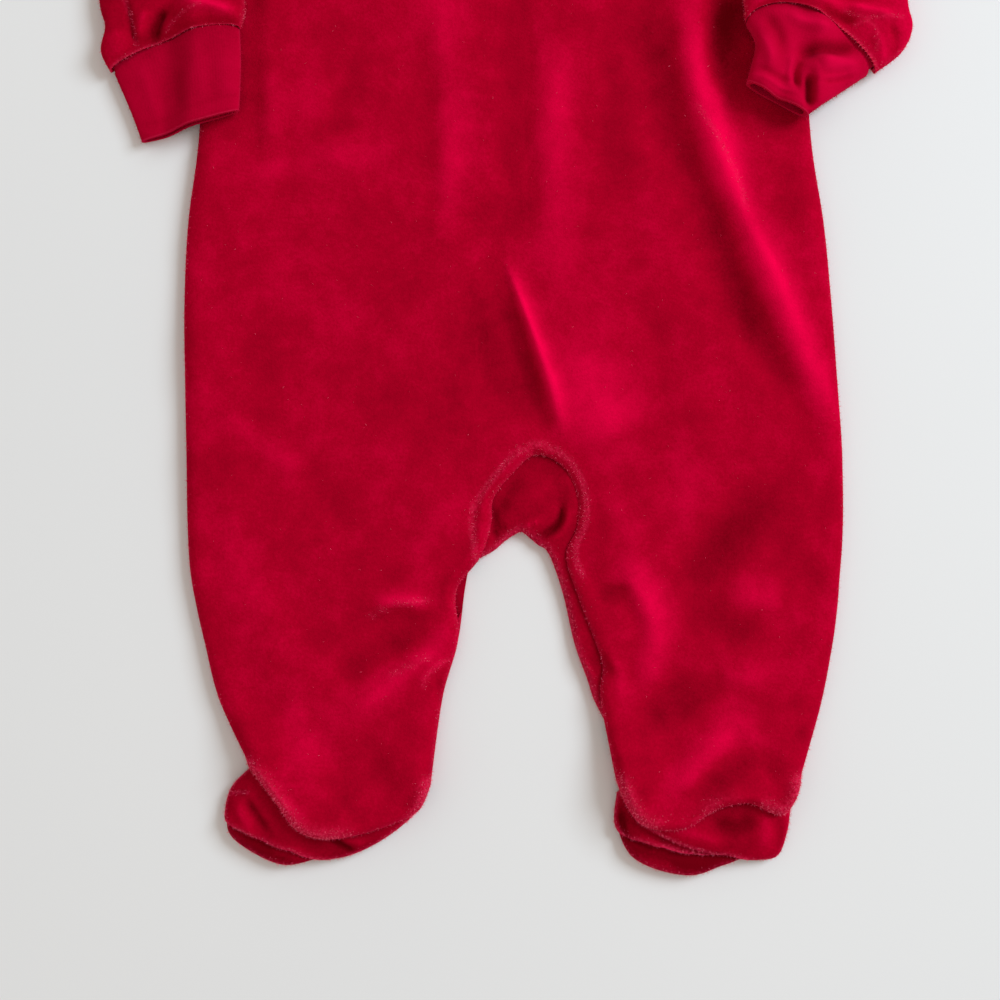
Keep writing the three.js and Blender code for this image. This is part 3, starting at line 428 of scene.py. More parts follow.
left_arch = plan_run("left", FRONT_MIDDLE, 1, ARCH_ROW, ANKLE_ROW)
right_arch = plan_run("right", FRONT_MIDDLE, 1, ARCH_ROW, ANKLE_ROW)
body_sides = [plan_run(side, FRONT_MIDDLE, 0, ARMPIT_ROW, ANKLE_ROW) for side in ("left", "right")]
ankle_runs = [ankle_run("left"), ankle_run("right")]
FRONT_EDGES = [
    rolled_edge(body_sides[0], SIDE_ROLL, leg_seam),
    rolled_edge(body_sides[1][::-1], SIDE_ROLL, leg_seam),
    rolled_edge(left_arch[::-1], ARCH_ROLL["left"], over_gusset(GUSSET_PASSED_Y["left"])),
    rolled_edge(right_arch, ARCH_ROLL["right"], over_gusset(GUSSET_PASSED_Y["right"])),
    rolled_edge(ankle_runs[0], ANKLE_ROLL, leg_seam),
    rolled_edge(ankle_runs[1][::-1], ANKLE_ROLL, leg_seam),
    rolled_edge(shoulder_run("left")[::-1], SIDE_ROLL, leg_seam),
    rolled_edge(shoulder_run("right"), SIDE_ROLL, leg_seam),
]
print("the front rounds over along", len(FRONT_EDGES), "edges")

# %% [markdown]
# Folds are what makes this picture. A fold is a short curve with a half width and a height, and the
# cloth swells or sinks round it in a soft bell. The long ones come from the way that the garment was
# laid down, so they lie where the photograph shows them. A second table has the finer creases: the
# sharp pleat over the crotch, pinches at the inner legs and the flat marks left from packing.

# %% Folds of the front
FOLD_COLUMNS = ["x0", "y0", "xm", "ym", "x1", "y1", "width", "rise"]
FOLDS = table(FOLD_COLUMNS, [
    [68, 330, 68, 270, 70, 214, 10, 2.6], [70, 214, 77, 166, 94, 124, 8, 3.6],
    [94, 124, 111, 82, 129, 38, 8, 3.0], [50, 230, 62, 172, 74, 138, 9, -2.1],
    [74, 138, 90, 94, 122, 44, 8, -2.4], [-4, 109, 9, 76, 20, 42, 3.4, 2.4],
    [-8, 110, 3, 72, 11, 40, 5, -1.8], [20, 84, 34, 54, 42, 38, 14, 1.8],
    [-26, 230, -27, 170, -28, 114, 8, 1.2], [-34, 190, -34, 160, -33, 120, 5, -1.0],
    [1, 230, 1, 165, 0, 112, 7, -1.2], [16, 203, 16, 150, 17, 100, 8, 1.4],
    [42, 220, 42, 160, 40, 110, 9, -0.8], [-66, 190, -70, 170, -73, 158, 7, -1.1],
    [-106, 138, -86, 150, -54, 154, 6, 0.9], [-124, 50, -98, 34, -84, 25, 6, 1.0],
    [-86, 30, -76, 18, -64, 4, 7, -1.0], [-56, -36, -44, -37, -34, -38, 7, -1.1],
    [-58, -28, -46, -25, -34, -27, 4.5, 1.2], [-70, -75, -46, -56, -23, -34, 6, 1.0],
    [-74, -62, -56, -48, -40, -44, 6, -1.6], [31, -27.6, 38.8, -23, 47, -20.4, 3.6, -1.9],
    [40, -8, 54, -30, 52.5, -66, 6, 1.8], [50, -76, 62, -66, 76, -56, 7, -2.0],
    [112, 24, 84, -2, 72, -28, 9, -2.0], [72, -28, 84, -37, 106, -36, 7, -1.5],
    [84, -20, 96, -24, 108, -26, 7, 1.2], [60, -104, 74, -90, 92, -73, 6, 2.2],
    [70, -104, 90, -94, 108, -89, 6, -2.0], [111, -78, 115, -82, 119, -86, 5, -1.5],
])
CREASES = table(FOLD_COLUMNS, [
    [-4, 110, 8, 78, 19, 44, 1.5, 1.0], [-7, 108, 2, 74, 12, 46, 2.6, -0.8],
    [74, 166, 90, 132, 112, 84, 3.2, 1.1], [68, 152, 82, 122, 96, 78, 4, -0.9],
    [-26, 175, -13, 175.6, 0, 175, 1.5, 0.4], [-26, 163, -12, 163.6, 1, 163, 1.6, 0.5],
    [28, -46, 34, -51, 39, -56, 2.4, -1.4], [34, -20, 44, -19, 52, -26, 2.2, 0.8],
    [-54, -27, -44, -26, -36, -27, 1.8, 0.8], [-66, -72, -44, -56, -28, -42, 2.2, 0.5],
    [-120, 20, -112, -10, -100, -40, 9, 0.6], [-90, -60, -84, -84, -76, -104, 6, 0.8],
    [-60, -70, -56, -90, -50, -104, 5, -0.7], [100, 10, 112, -12, 124, -24, 6, -0.8],
    [88, -70, 96, -84, 98, -98, 4, 0.8], [50, -84, 52, -98, 48, -106, 3.4, -0.8],
    [30, 20, 44, 4, 48, -12, 5, 0.7], [-20, 14, -34, 2, -42, -14, 6, 0.6],
    [-100, 110, -84, 92, -60, 84, 8, 0.5], [-58, 66, -44, 52, -20, 44, 8, -0.5],
    [46, 96, 58, 74, 64, 48, 7, -0.6], [62, 44, 70, 22, 66, 0, 8, 0.6],
    # The next two creases also darken the colour through the painted shading: painted shade in the hollow
    # beside the right sleeve, and over a broad area left of the chest crease.
    [86, 224, 84, 202, 81, 176, 7, -4.4], [-16, 98, -9, 72, 4, 44, 8, -1.5],
    [-57, -28, -46, -26.6, -35, -29, 1.7, 0.9], [-100, 190, -96, 170, -98, 150, 6, 0.6],
    [40, -26, 48, -32, 50, -44, 3.4, -1.0], [36, -48, 42, -56, 40, -68, 3.0, 0.8],
    [60, -74, 74, -66, 84, -52, 4, -1.2], [76, -50, 88, -56, 100, -52, 5, 0.9],
    [-100, -96, -90, -108, -80, -114, 3.6, 0.8], [-72, -100, -64, -110, -60, -116, 3, -0.8],
    [-37, -60.4, -35, -55, -26.6, -50, 1.5, 0.9], [-31, -56, -30, -62, -29.8, -68, 1.8, -1.0],
    [-60, -34, -48, -33, -30, -34, 2.2, -0.7], [-62, -58, -46, -50, -33, -47, 2.0, 0.7],
])
# The arch's rim line: a shallow groove follows it, and fibres with a painted highlight run along it.
ARCH_RIM = line(
    [-15.6, -10], [-17.2, 6.8], [-14.4, 14.8], [-6.8, 25.2], [0.4, 32.4], [8.4, 35.8], [16.8, 33.8],
    [24.4, 26.6], [28.2, 17], [28.4, 5], [24, -6.4], [26.8, -16],
)
# Lines along fold rims where fibres grow and a pale highlight is painted.
FUZZ_AND_HIGHLIGHT_LINES = [
    line([-57.6, -32.2], [-49.8, -28.4], [-42, -26.6], [-35.3, -25.6]),
    line([-50, -56.4], [-44.4, -53.4], [-40, -51.4], [-34.4, -49.2]),
    line([-36.8, -60.4], [-35.2, -56.4], [-31, -52.6], [-26.6, -50]),
    line([72, 172], [80, 160], [88, 144], [92, 132]),
]
# Lines on the feet, along a crease and a lobe's top edge, where fibres grow and a pale highlight is painted.
LEFT_CREASE = line([-114.4, -104], [-112.4, -103.6], [-110, -103.2], [-107, -103.2])
LOBE_RIM = line(
    [50.4, -115.6], [56, -118.6], [63.2, -122.4], [70, -125], [77, -127], [84, -128.4], [90, -130.6],
)
FOLD_STEPS = 10
FOLD_REACH = 2.6


def fold_rise(folds, x, y):
    """Sum of a table's folds at points."""
    rise = np.zeros(x.shape)
    t = np.linspace(0, 1, FOLD_STEPS + 1)
    for x0, y0, xm, ym, x1, y1, width, height in zip(*folds.values()):
        bend_x, bend_y = 2 * xm - (x0 + x1) / 2, 2 * ym - (y0 + y1) / 2
        run = np.column_stack([
            (1 - t) ** 2 * x0 + 2 * t * (1 - t) * bend_x + t**2 * x1,
            (1 - t) ** 2 * y0 + 2 * t * (1 - t) * bend_y + t**2 * y1,
        ])
        reach = FOLD_REACH * width
        low, high = run.min(axis=0) - reach, run.max(axis=0) + reach
        near = (x > low[0]) & (x < high[0]) & (y > low[1]) & (y < high[1])
        if near.any():
            distance, place = nearest(run, x[near], y[near])
            end = np.minimum(place, FOLD_STEPS - place) / FOLD_STEPS
            rise[near] += height * bump(distance, width) * smooth(-0.12, 0.3, end)
    return rise


def ripples(x, y, seed=7):
    """Gentle unevenness of cloth that nobody has smoothed out."""
    rng = np.random.default_rng(seed)
    total = np.zeros(np.shape(x))
    for wavelength, height in ((70, 0.2), (46, 0.16), (31, 0.1), (19, 0.06), (12, 0.035)):
        for _ in range(3):
            angle, phase, bend = rng.uniform(0, 2 * math.pi, 3)
            ahead = (x * math.cos(angle) + y * math.sin(angle)) * 2 * math.pi / wavelength
            across = (y * math.cos(angle) - x * math.sin(angle)) * 2 * math.pi / (1.7 * wavelength)
            total += height * np.sin(ahead + phase + 1.2 * np.sin(across + bend))
    return total


print(len(FOLDS["x0"]), "folds and", len(CREASES["x0"]), "creases")

# %% [markdown]
# The height of the front away from its seams adds everything up: the usual loft of two soft layers,
# the folds, a lift over the feet, and the weight of the sleeves where they press it flat. Close to the
# crotch seam stands a rounded rim with a narrow groove outside it, and a welt follows each ankle.

# %% Height of the front
SLOPE_STEP = 0.8


def placket_step(x, y):
    return PLACKET_STEP * smooth(38, 70, y) * smooth(OVERLAP + 12, OVERLAP + 1, x)


def pressed(x, y):
    left = smooth(-98, -106, x) * smooth(150, 162, y)
    right = smooth(80, 89, x) * smooth(156, 170, y)
    return np.maximum(left, right)


def to_rim(rows, x, y):
    return nearest(np.column_stack(even_curve(rows)(np.linspace(0, 1, 30))[:2]), x, y)[0]


def arch_welt(x, y):
    left, right = nearest(left_arch[:42], x, y)[0], nearest(right_arch[:44], x, y)[0]
    rim = 1.6 * bump(left - 3.2, 2.4) - 2.0 * bump(right, 9) * smooth(3, 12, left)
    return rim - 0.8 * bump(to_rim(ARCH_RIM, x, y), 1.3) * smooth(2, 6, np.minimum(left, right))


def ankle_welt(x, y):
    """Distance to the ankle folds, and the height that their welt adds."""
    distance = np.minimum(*[nearest(run, x, y)[0] for run in ankle_runs])
    return distance, 0.5 * bump(distance - 2.4, 1.6) - 0.4 * bump(distance - 6.5, 2.4)


def front_loft(x, y):
    to_ankle, welt = ankle_welt(x, y)
    lift = ANKLE_LIFT * (1 - smooth(2, ANKLE_LIFT_REACH, to_ankle))
    folds = fold_rise(FOLDS, x, y) + fold_rise(CREASES, x, y)
    loose = LOFT + folds + lift + welt + arch_welt(x, y) + ripples(x, y)
    resting = mix(loose, PRESSED, pressed(x, y))
    back_rise = placket_step(x, y) * smooth(-OVERLAP - 12, -OVERLAP - 2, x)
    over_back = np.maximum(resting, 2 * CLOTH + 2 * SEAM_GAP + back_rise)
    return soft_max(over_back, foot_top(x, y) + CLOTH + SEAM_GAP), folds


def rolled_wall(x, y, loft, edges, kept_open):
    """Outer and inner points of cloth whose height over the plan rounds over at its edges."""
    distance, roll, seam, in_x, in_y = nearest_edge(edges, x, y)
    share = mix(np.minimum(distance / roll, 1), 1, kept_open)
    height, folds = loft(x, y)
    held = smooth(2 * roll, roll, distance)
    level = height + held * np.maximum(seam + LEAST_ROLL_RISE - height, 0)
    rise = level - seam
    flat = 1 - share
    up = np.sqrt(np.clip(1 - flat * flat, 0, 1))
    slope_x = (loft(x + SLOPE_STEP, y)[0] - loft(x - SLOPE_STEP, y)[0]) / (2 * SLOPE_STEP)
    slope_y = (loft(x, y + SLOPE_STEP)[0] - loft(x, y - SLOPE_STEP)[0]) / (2 * SLOPE_STEP)
    normal = np.stack([
        -in_x * rise * flat - slope_x * roll * up,
        -in_y * rise * flat - slope_y * roll * up,
        roll * up,
    ], axis=-1)
    normal /= np.linalg.norm(normal, axis=-1, keepdims=True)
    outer = np.stack([x, y, seam + rise * up], axis=-1)
    inner = outer - CLOTH * normal
    inner[..., 2] = np.where(share < 1, np.maximum(inner[..., 2], seam), inner[..., 2])
    return outer, inner, folds, distance


print("front loft at the belly:", np.round(front_loft(np.array([-60.0]), np.array([100.0]))[0], 2))

# %% [markdown]
# Every cloth piece is a closed wall: an outer grid, an inner grid a cloth's thickness away, and
# narrow strips round the open ends. Two numbers ride on its points for the materials. The first is
# painted shading with a little random nap: high on fold ridges as a painted highlight, low in the
# troughs as painted shade. The second is high at edges, where pile sticks out: it sets how thickly
# fibres grow there and paints a pale highlight on the cloth.

# %% Cloth walls as meshes
WELD = 1e-6
SHARP_CLOTH = 60
INNER_SHADING_AND_NAP = 0.4


def wall_quads(rows, columns, rings=False, open_until=0):
    index = np.arange(rows * columns).reshape(rows, columns)
    other = index + rows * columns
    if rings:
        index, other = (np.hstack([grid, grid[:, :1]]) for grid in (index, other))

    def quads(*corners):
        return np.stack([corner.ravel() for corner in corners], axis=1)

    made = [
        quads(index[:-1, :-1], index[1:, :-1], index[1:, 1:], index[:-1, 1:]),
        quads(other[:-1, :-1], other[:-1, 1:], other[1:, 1:], other[1:, :-1]),
        quads(index[0, :-1], index[0, 1:], other[0, 1:], other[0, :-1]),
        quads(index[-1, :-1], other[-1, :-1], other[-1, 1:], index[-1, 1:]),
    ]
    if not rings:
        made.append(quads(index[:-1, 0], other[:-1, 0], other[1:, 0], index[1:, 0]))
        start = open_until
        made.append(quads(
            index[start:-1, -1], index[start + 1:, -1], other[start + 1:, -1], other[start:-1, -1]
        ))
    return np.vstack(made)


def signed_volume(points, quads):
    a, b, c, d = (points[quads[:, k]] for k in range(4))
    return np.sum(a * np.cross(b, c)) / 6 + np.sum(a * np.cross(c, d)) / 6


def linked(name, data):
    made = bpy.data.objects.new(name, data)
    bpy.context.collection.objects.link(made)
    return made


def shaded(mesh, sharp, material):
    """An object from a mesh that is smooth apart from its sharp edges."""
    mesh.polygons.foreach_set("use_smooth", [True] * len(mesh.polygons))
    mesh.set_sharp_from_angle(angle=math.radians(sharp))
    mesh.materials.append(material)
    print(mesh.name, "has", len(mesh.polygons), "faces")
    return linked(mesh.name, mesh)


def closed_wall(name, points, quads, attributes, material):
    """A piece from the points and quads of a closed wall, its faces turned outwards."""
    if signed_volume(points, quads) < 0:
        quads = quads[:, ::-1]
    mesh = bpy.data.meshes.new(name)
    mesh.from_pydata(to_frame(points), [], quads.tolist())
    for label, values in attributes.items():
        layer = mesh.attributes.new(label, "FLOAT", "POINT")
        layer.data.foreach_set("value", np.asarray(values, np.float32).ravel())
    work = bmesh.new()
    work.from_mesh(mesh)
    bmesh.ops.remove_doubles(work, verts=work.verts, dist=WELD)
    work.to_mesh(mesh)
    work.free()
    return shaded(mesh, SHARP_CLOTH, material)


def cloth_wall(name, walls, rings=False):
    """A piece from walls of (outer, inner, nap, fuzz, open_until, mirrored) grids."""
    points, quads, shadings_and_naps, fuzzes_and_highlights, count = [], [], [], [], 0
    for outer, inner, nap, fuzz, open_until, mirrored in walls:
        own = wall_quads(*outer.shape[:2], rings, open_until)
        quads.append((own[:, ::-1] if mirrored else own) + count)
        points += [outer.reshape(-1, 3), inner.reshape(-1, 3)]
        shadings_and_naps += [nap.ravel(), np.full(nap.size, INNER_SHADING_AND_NAP)]
        fuzzes_and_highlights += [fuzz.ravel(), np.zeros(fuzz.size)]
        count += 2 * nap.size
    attributes = {"nap": np.concatenate(shadings_and_naps), "fuzz": np.concatenate(fuzzes_and_highlights)}
    return closed_wall(name, np.vstack(points), np.vstack(quads), attributes, VELOUR)


print("cloth can be made")

# %% [markdown]
# A material is a small sum of noises and masks. Written with boxes and wires it is hard to read, so
# one class wraps a socket and lets the maths stand as plain expressions. Colours go through Mix
# nodes, since a Math node would turn them grey.

# %% Sockets as numbers


class Wire:
    """A socket of a material's nodes, with arithmetic."""

    def __init__(self, tree, socket):
        self.tree = tree
        self.socket = socket

    def _math(self, operation, *values):
        return node(self.tree, "ShaderNodeMath", {"operation": operation}, dict(enumerate(values)))

    def __add__(self, other):
        return self._math("ADD", self, other)

    def __sub__(self, other):
        return self._math("SUBTRACT", self, other)

    def __mul__(self, other):
        return self._math("MULTIPLY", self, other)

    def __rsub__(self, other):
        return self._math("SUBTRACT", other, self)

    __radd__ = __add__
    __rmul__ = __mul__

    def clamped(self, low=0.0, high=1.0):
        return self._math("MINIMUM", self._math("MAXIMUM", self, low), high)


def node(tree, kind, settings=None, values=None, output=0):
    """A node of a type, its settings first and then the values or links of its sockets."""
    made = tree.nodes.new(kind)
    for name, value in (settings or {}).items():
        if name == "stops":
            ramp = made.color_ramp
            while len(ramp.elements) < len(value):
                ramp.elements.new(1)
            for element, (place, colour) in zip(ramp.elements, value):
                element.position, element.color = place, (*colour, 1)
        else:
            setattr(made, name, value)
    for key, value in (values or {}).items():
        if isinstance(value, Wire):
            tree.links.new(value.socket, made.inputs[key])
        else:
            made.inputs[key].default_value = value
    return Wire(tree, made.outputs[output])


def blend(tree, factor, first, second):
    """One colour over another."""
    values = {0: factor}
    for key, colour in ((6, first), (7, second)):
        values[key] = colour if isinstance(colour, Wire) else (*colour, 1)
    return node(tree, "ShaderNodeMix", {"data_type": "RGBA"}, values, output=2)


def noise(tree, where, scale, detail, roughness):
    return node(tree, "ShaderNodeTexNoise", None, {
        "Vector": where, "Scale": scale, "Detail": detail, "Roughness": roughness,
    })


def new_material(name):
    material = bpy.data.materials.new(name)
    material.use_nodes = True
    tree = material.node_tree
    return material, tree, node(tree, "ShaderNodeTexCoord", output=3)


def attribute(tree, name):
    return node(tree, "ShaderNodeAttribute", {"attribute_name": name}, output=2)


def bumped(tree, height, strength, distance):
    values = {"Strength": strength, "Distance": distance, "Height": height}
    return node(tree, "ShaderNodeBump", None, values)


def surfaced(material, varying, constant):
    """The material, with wires and plain values in its shader's own sockets."""
    surface = material.node_tree.nodes["Principled BSDF"]
    for name, wire in varying.items():
        material.node_tree.links.new(wire.socket, surface.inputs[name])
    for name, value in constant.items():
        surface.inputs[name].default_value = value
    return material


print("materials can be written as sums")

# %% [markdown]
# Velour is a knit with a short dense pile. It gives a pinkish glow where it is seen from the side, so
# the shader has a sheen. Its colour follows the painted shading: painted shade makes it deep red in the
# valleys, and a painted highlight makes it brighter along the ridges. Patches of pile that lie
# differently give the soft mottling, and a very fine bump stands for the tufts. At edges a pale pink is
# painted as a highlight where the pile catches the light.

# %% Velour
# The deep and light ends of the velour's colour carry painted shade in fold troughs and a painted highlight
# on ridges. They also carry the darker and lighter patches of the random mottling.
VELOUR_DEEP_AND_PAINTED_SHADE = (0.155, 0.0002, 0.005)
VELOUR_MID = (0.39, 0.0003, 0.0165)
VELOUR_LIGHT_AND_PAINTED_HIGHLIGHT = (0.80, 0.0006, 0.054)
RIM_HIGHLIGHT_COLOUR = (0.74, 0.022, 0.095)


def velour_material():
    material, tree, where = new_material("Velour")
    nap, fuzz = attribute(tree, "nap"), attribute(tree, "fuzz")
    patches = noise(tree, where, 34.0, 3.0, 0.55)
    cloudy = noise(tree, where, 110.0, 3.0, 0.6)
    grain = noise(tree, where, 900.0, 2.0, 0.6)
    level = (nap + (patches - 0.5) * 0.3 + (cloudy - 0.5) * 0.34 + (grain - 0.5) * 0.3).clamped()
    colour = node(tree, "ShaderNodeValToRGB", {
        "stops": [(0.0, VELOUR_DEEP_AND_PAINTED_SHADE), (0.45, VELOUR_MID), (1.0, VELOUR_LIGHT_AND_PAINTED_HIGHLIGHT)],
    }, {0: level})
    # Painted highlight: a pale pink laid over the colour at edges and along fold rims, where the pile catches
    # the light.
    rim = (fuzz * (grain * 1.5 - 0.36)).clamped()
    colour = blend(tree, rim, colour, RIM_HIGHLIGHT_COLOUR)
    tufts = noise(tree, where, 1500.0, 2.0, 0.7)
    relief = bumped(tree, tufts * 0.7 + cloudy * 0.9, 0.5, 0.6 * MM)
    return surfaced(material, {"Base Color": colour, "Normal": relief}, {
        "Roughness": 0.95, "Specular IOR Level": 0.0,
        "Sheen Weight": 0.3, "Sheen Roughness": 0.35, "Sheen Tint": (1.0, 0.005, 0.11, 1),
    })


VELOUR = velour_material()
print("velour made")

# %% [markdown]
# Rib knit of the cuffs and neckband is flatter and duller than velour. Its wales run along the arm,
# so they read the piece's own UV map, where u goes round the tube and v along it. The press studs
# are dyed plastic, a little glossy, with fine scuffs.

# %% Rib knit and stud plastic
# The deep and light ends of the rib's colour carry painted shade in fold troughs and a painted highlight on
# ridges, as well as its random mottle.
RIB_DEEP_AND_PAINTED_SHADE = (0.22, 0.0002, 0.009)
RIB_MID = (0.40, 0.0004, 0.021)
RIB_LIGHT_AND_PAINTED_HIGHLIGHT = (0.54, 0.0008, 0.036)
WALES, COURSES = 108, 60


def rib_material():
    material, tree, where = new_material("Rib knit")
    nap, fuzz = attribute(tree, "nap"), attribute(tree, "fuzz")
    flat = node(tree, "ShaderNodeUVMap", {"uv_map": "cloth"})
    u = node(tree, "ShaderNodeSeparateXYZ", None, {0: flat}, 0)
    v = node(tree, "ShaderNodeSeparateXYZ", None, {0: flat}, 1)
    wale = node(tree, "ShaderNodeMath", {"operation": "SINE"}, {0: u * (2 * math.pi * WALES)})
    course = node(tree, "ShaderNodeMath", {"operation": "SINE"}, {0: v * (2 * math.pi * COURSES)})
    mottle = noise(tree, where, 120.0, 3.0, 0.6)
    grain = noise(tree, where, 1300.0, 2.0, 0.6)
    level = (nap + wale * 0.015 + course * 0.008 + (mottle - 0.5) * 0.4 + (grain - 0.5) * 0.4).clamped()
    colour = node(tree, "ShaderNodeValToRGB", {
        "stops": [(0.0, RIB_DEEP_AND_PAINTED_SHADE), (0.5, RIB_MID), (1.0, RIB_LIGHT_AND_PAINTED_HIGHLIGHT)],
    }, {0: level})
    # Painted highlight: a pale pink at the rib's edges.
    colour = blend(tree, (fuzz * 0.4).clamped(), colour, RIM_HIGHLIGHT_COLOUR)
    relief = bumped(tree, wale * 0.035 + course * 0.02 + grain * 0.5, 0.6, 0.4 * MM)
    return surfaced(material, {"Base Color": colour, "Normal": relief}, {
        "Roughness": 0.92, "Specular IOR Level": 0.0,
        "Sheen Weight": 0.15, "Sheen Roughness": 0.5, "Sheen Tint": (1.0, 0.02, 0.14, 1),
    })


def stud_material():
    material, tree, where = new_material("Dyed plastic")
    scuffs = noise(tree, where, 2600.0, 4.0, 0.6)
    colour = blend(tree, scuffs, (0.30, 0.003, 0.018), (0.42, 0.006, 0.028))
    relief, dull = bumped(tree, scuffs, 0.2, 0.1 * MM), 0.3 + scuffs * 0.25
    return surfaced(material, {"Base Color": colour, "Normal": relief, "Roughness": dull}, {})


RIB_KNIT = rib_material()
STUD_PLASTIC = stud_material()
print("rib knit and stud plastic made")

# %% [markdown]
# The front is one piece of velour from the shoulders to both ankles, with an arch cut out at the
# crotch. It could be draped by simulation, but the photograph fixes every fold, so it is drawn: two
# half grids share the centre line above the arch and part below it.

# %% Front
FRONT_ROWS = 250
FRONT_COLUMNS = 76
BARE_FUZZ = 0.0025


def spread_places(side, middle, count, bottom):
    """Places down a panel whose rows lie evenly on the cloth."""
    place = np.linspace(0, ANKLE_ROW, 600)
    x, y = plan(side, middle, FRONT_NECK_DIP, place, 0.5, bottom)
    walked = np.concatenate([[0], np.cumsum(np.hypot(np.diff(x), np.diff(y)))])
    return np.interp(spaced(count, 1.5, 0.03) * walked[-1], walked, place)


# Painted shading: a painted highlight on fold ridges and painted shade in fold troughs, with a random ripple
# of the nap.
def shading_and_nap_of(folds, x, y, level=0.46):
    turned = 0.17 * np.maximum(folds, 0) + 0.11 * np.minimum(folds, 0)
    return np.clip(level + turned + 0.07 * ripples(x, y, 21), 0, 1)


def open_armhole(place, share):
    """1 where a panel's side is left open for the sleeve, so that it doesn't round over."""
    return smooth(0.3, 0.9, place) * smooth(4.0, 3.5, place) * smooth(0.16, 0.06, share)


def front_piece():
    places = spread_places("left", FRONT_MIDDLE, FRONT_ROWS, ankle_curves["left"])
    at_arch = int(np.argmin(np.abs(places - ARCH_ROW)))
    places[at_arch] = ARCH_ROW
    place = places[:, None]
    share = spaced(FRONT_COLUMNS, 1.8, 0.05)[None, :]
    walls = []
    for side in ("left", "right"):
        x, y = plan(side, FRONT_MIDDLE, FRONT_NECK_DIP, place, share, ankle_curves[side])
        neck = smooth(NECK_COLUMN, NECK_COLUMN + 0.04, share) * smooth(0.5, 0.0, place)
        armhole = open_armhole(place, share)
        outer, inner, folds, distance = rolled_wall(
            x, y, front_loft, FRONT_EDGES, np.maximum(neck, armhole)
        )
        nap = shading_and_nap_of(folds, x, y)
        # Fibres and a painted highlight at the edges, along the arch's rim, in a broken band along the ankle
        # welts, and along the fold rims.
        rim = 0.7 * bump(to_rim(ARCH_RIM, x, y) - 0.6, 0.7)
        hem = bump(ankle_welt(x, y)[0] - 1.2, 3.2) * smooth(-0.5, 0.6, ripples(x, y, 33) * 2 + 0.2)
        lines = [0.5 * bump(to_rim(line, x, y), 0.9) for line in FUZZ_AND_HIGHLIGHT_LINES]
        fuzz = np.maximum.reduce([0.4 * bump(distance, 1.1), rim, hem, np.full(x.shape, BARE_FUZZ), *lines])
        walls.append((outer, inner, nap, fuzz, at_arch, side == "right"))
    return cloth_wall("front_velour", walls)


front = front_piece()

# %% [markdown]
# Under the front lie two back panels, which overlap at the centre where the press studs close them.
# They rest on the surface, so they stay flat apart from a few shallow tucks, and they turn up at the
# side seams. Each layer is pinched a little thinner round a stud, as a clamped cloth is.

# %% Backs
STUD_RADIUS = 4.6
STUD_CAP = 0.7
BACK_ROWS = 170
BACK_COLUMNS = 56
BACK_EDGES = [
    rolled_edge(body_sides[0], BACK_ROLL, on_surface),
    rolled_edge(body_sides[1][::-1], BACK_ROLL, on_surface),
    rolled_edge(
        plan_run("left", BACK_MIDDLE, 1, STRIP_END_ROW - 1.5, ANKLE_ROW)[::-1], BACK_ROLL, on_surface
    ),
    rolled_edge(plan_run("right", BACK_MIDDLE, 1, STRIP_END_ROW + 0.5, ANKLE_ROW), BACK_ROLL, on_surface),
    rolled_edge(shoulder_run("left")[::-1], BACK_ROLL, on_surface),
    rolled_edge(shoulder_run("right"), BACK_ROLL, on_surface),
]
BACK_TUCKS = table(FOLD_COLUMNS, [
    [-112, 210, -92, 150, -66, 92, 5, 1.0], [106, 204, 92, 140, 70, 84, 6, 1.1],
    [-100, 96, -84, 60, -58, 20, 5, 0.9], [98, 70, 88, 30, 64, -6, 5, 1.0],
    [-96, -8, -80, -30, -48, -40, 4, 0.9], [44, -30, 70, -36, 104, -22, 5, 1.0],
    [-80, 250, -70, 290, -72, 330, 6, 0.8], [70, 250, 76, 290, 68, 330, 6, 0.8],
    [-84, -60, -70, -78, -44, -82, 4, 0.8], [56, -66, 76, -76, 98, -72, 4, 0.8],
])
stud_ys = [FIRST_STUD_Y + k * STUD_SPACING for k in range(STUD_COUNT)]


def stud_seat(x, y):
    distance = np.min([np.hypot(x, y - stud_y) for stud_y in stud_ys], axis=0)
    return smooth(STUD_RADIUS + 3.5, STUD_RADIUS + 0.8, distance)


def overlap_at(y):
    return OVERLAP * smooth(72, 110, y)


def back_piece(side):
    is_right = side == "right"
    place = spread_places(side, BACK_MIDDLE, BACK_ROWS, None)[:, None]
    share = spaced(BACK_COLUMNS, 2.0, 0.05)[None, :]
    x, y = plan(side, BACK_MIDDLE, BACK_NECK_DIP, place, share)
    reach = np.where(place > ARCH_ROW, 0, overlap_at(y) - SEAM_GAP / 2)
    x = x + (-1 if is_right else 1) * reach * smooth(0.9, 1, share)
    distance, _, _, in_x, in_y = nearest_edge(BACK_EDGES, x, y)
    armhole = open_armhole(place, share)
    flat = (1 - np.minimum(distance / BACK_ROLL, 1)) * (1 - armhole)
    down = np.sqrt(1 - flat * flat)
    tuck = fold_rise(BACK_TUCKS, x, y) * smooth(6, 16, distance) * smooth(12, 30, np.abs(x))
    base = (placket_step(x, y) if is_right else 0) + tuck
    seat = stud_seat(x, y) * (STUD_CAP + 0.2)
    low_z = base + SEAM_HEIGHT * (1 - down) + (0 if is_right else seat)
    high_z = base + SEAM_HEIGHT * (1 - down) + CLOTH * down - (seat if is_right else 0)
    low = np.stack([x, y, low_z], axis=-1)
    high = np.stack([x + in_x * CLOTH * flat, y + in_y * CLOTH * flat, high_z], axis=-1)
    fuzz = bump(distance, 1.6)
    nap = shading_and_nap_of(tuck, x, y, 0.42)
    return cloth_wall("back_" + side + "_velour", [(low, high, nap, fuzz, 0, is_right)])


backs = {side: back_piece(side) for side in ("left", "right")}

# %% [markdown]
# The gusset and the two soles are strips folded over an edge: the gusset over the crotch, and each
# sole up round the toes. A strip is a row of cross sections. Each one runs in from its upper seam,
# round a half circle at the fold, and back underneath to its lower seam.

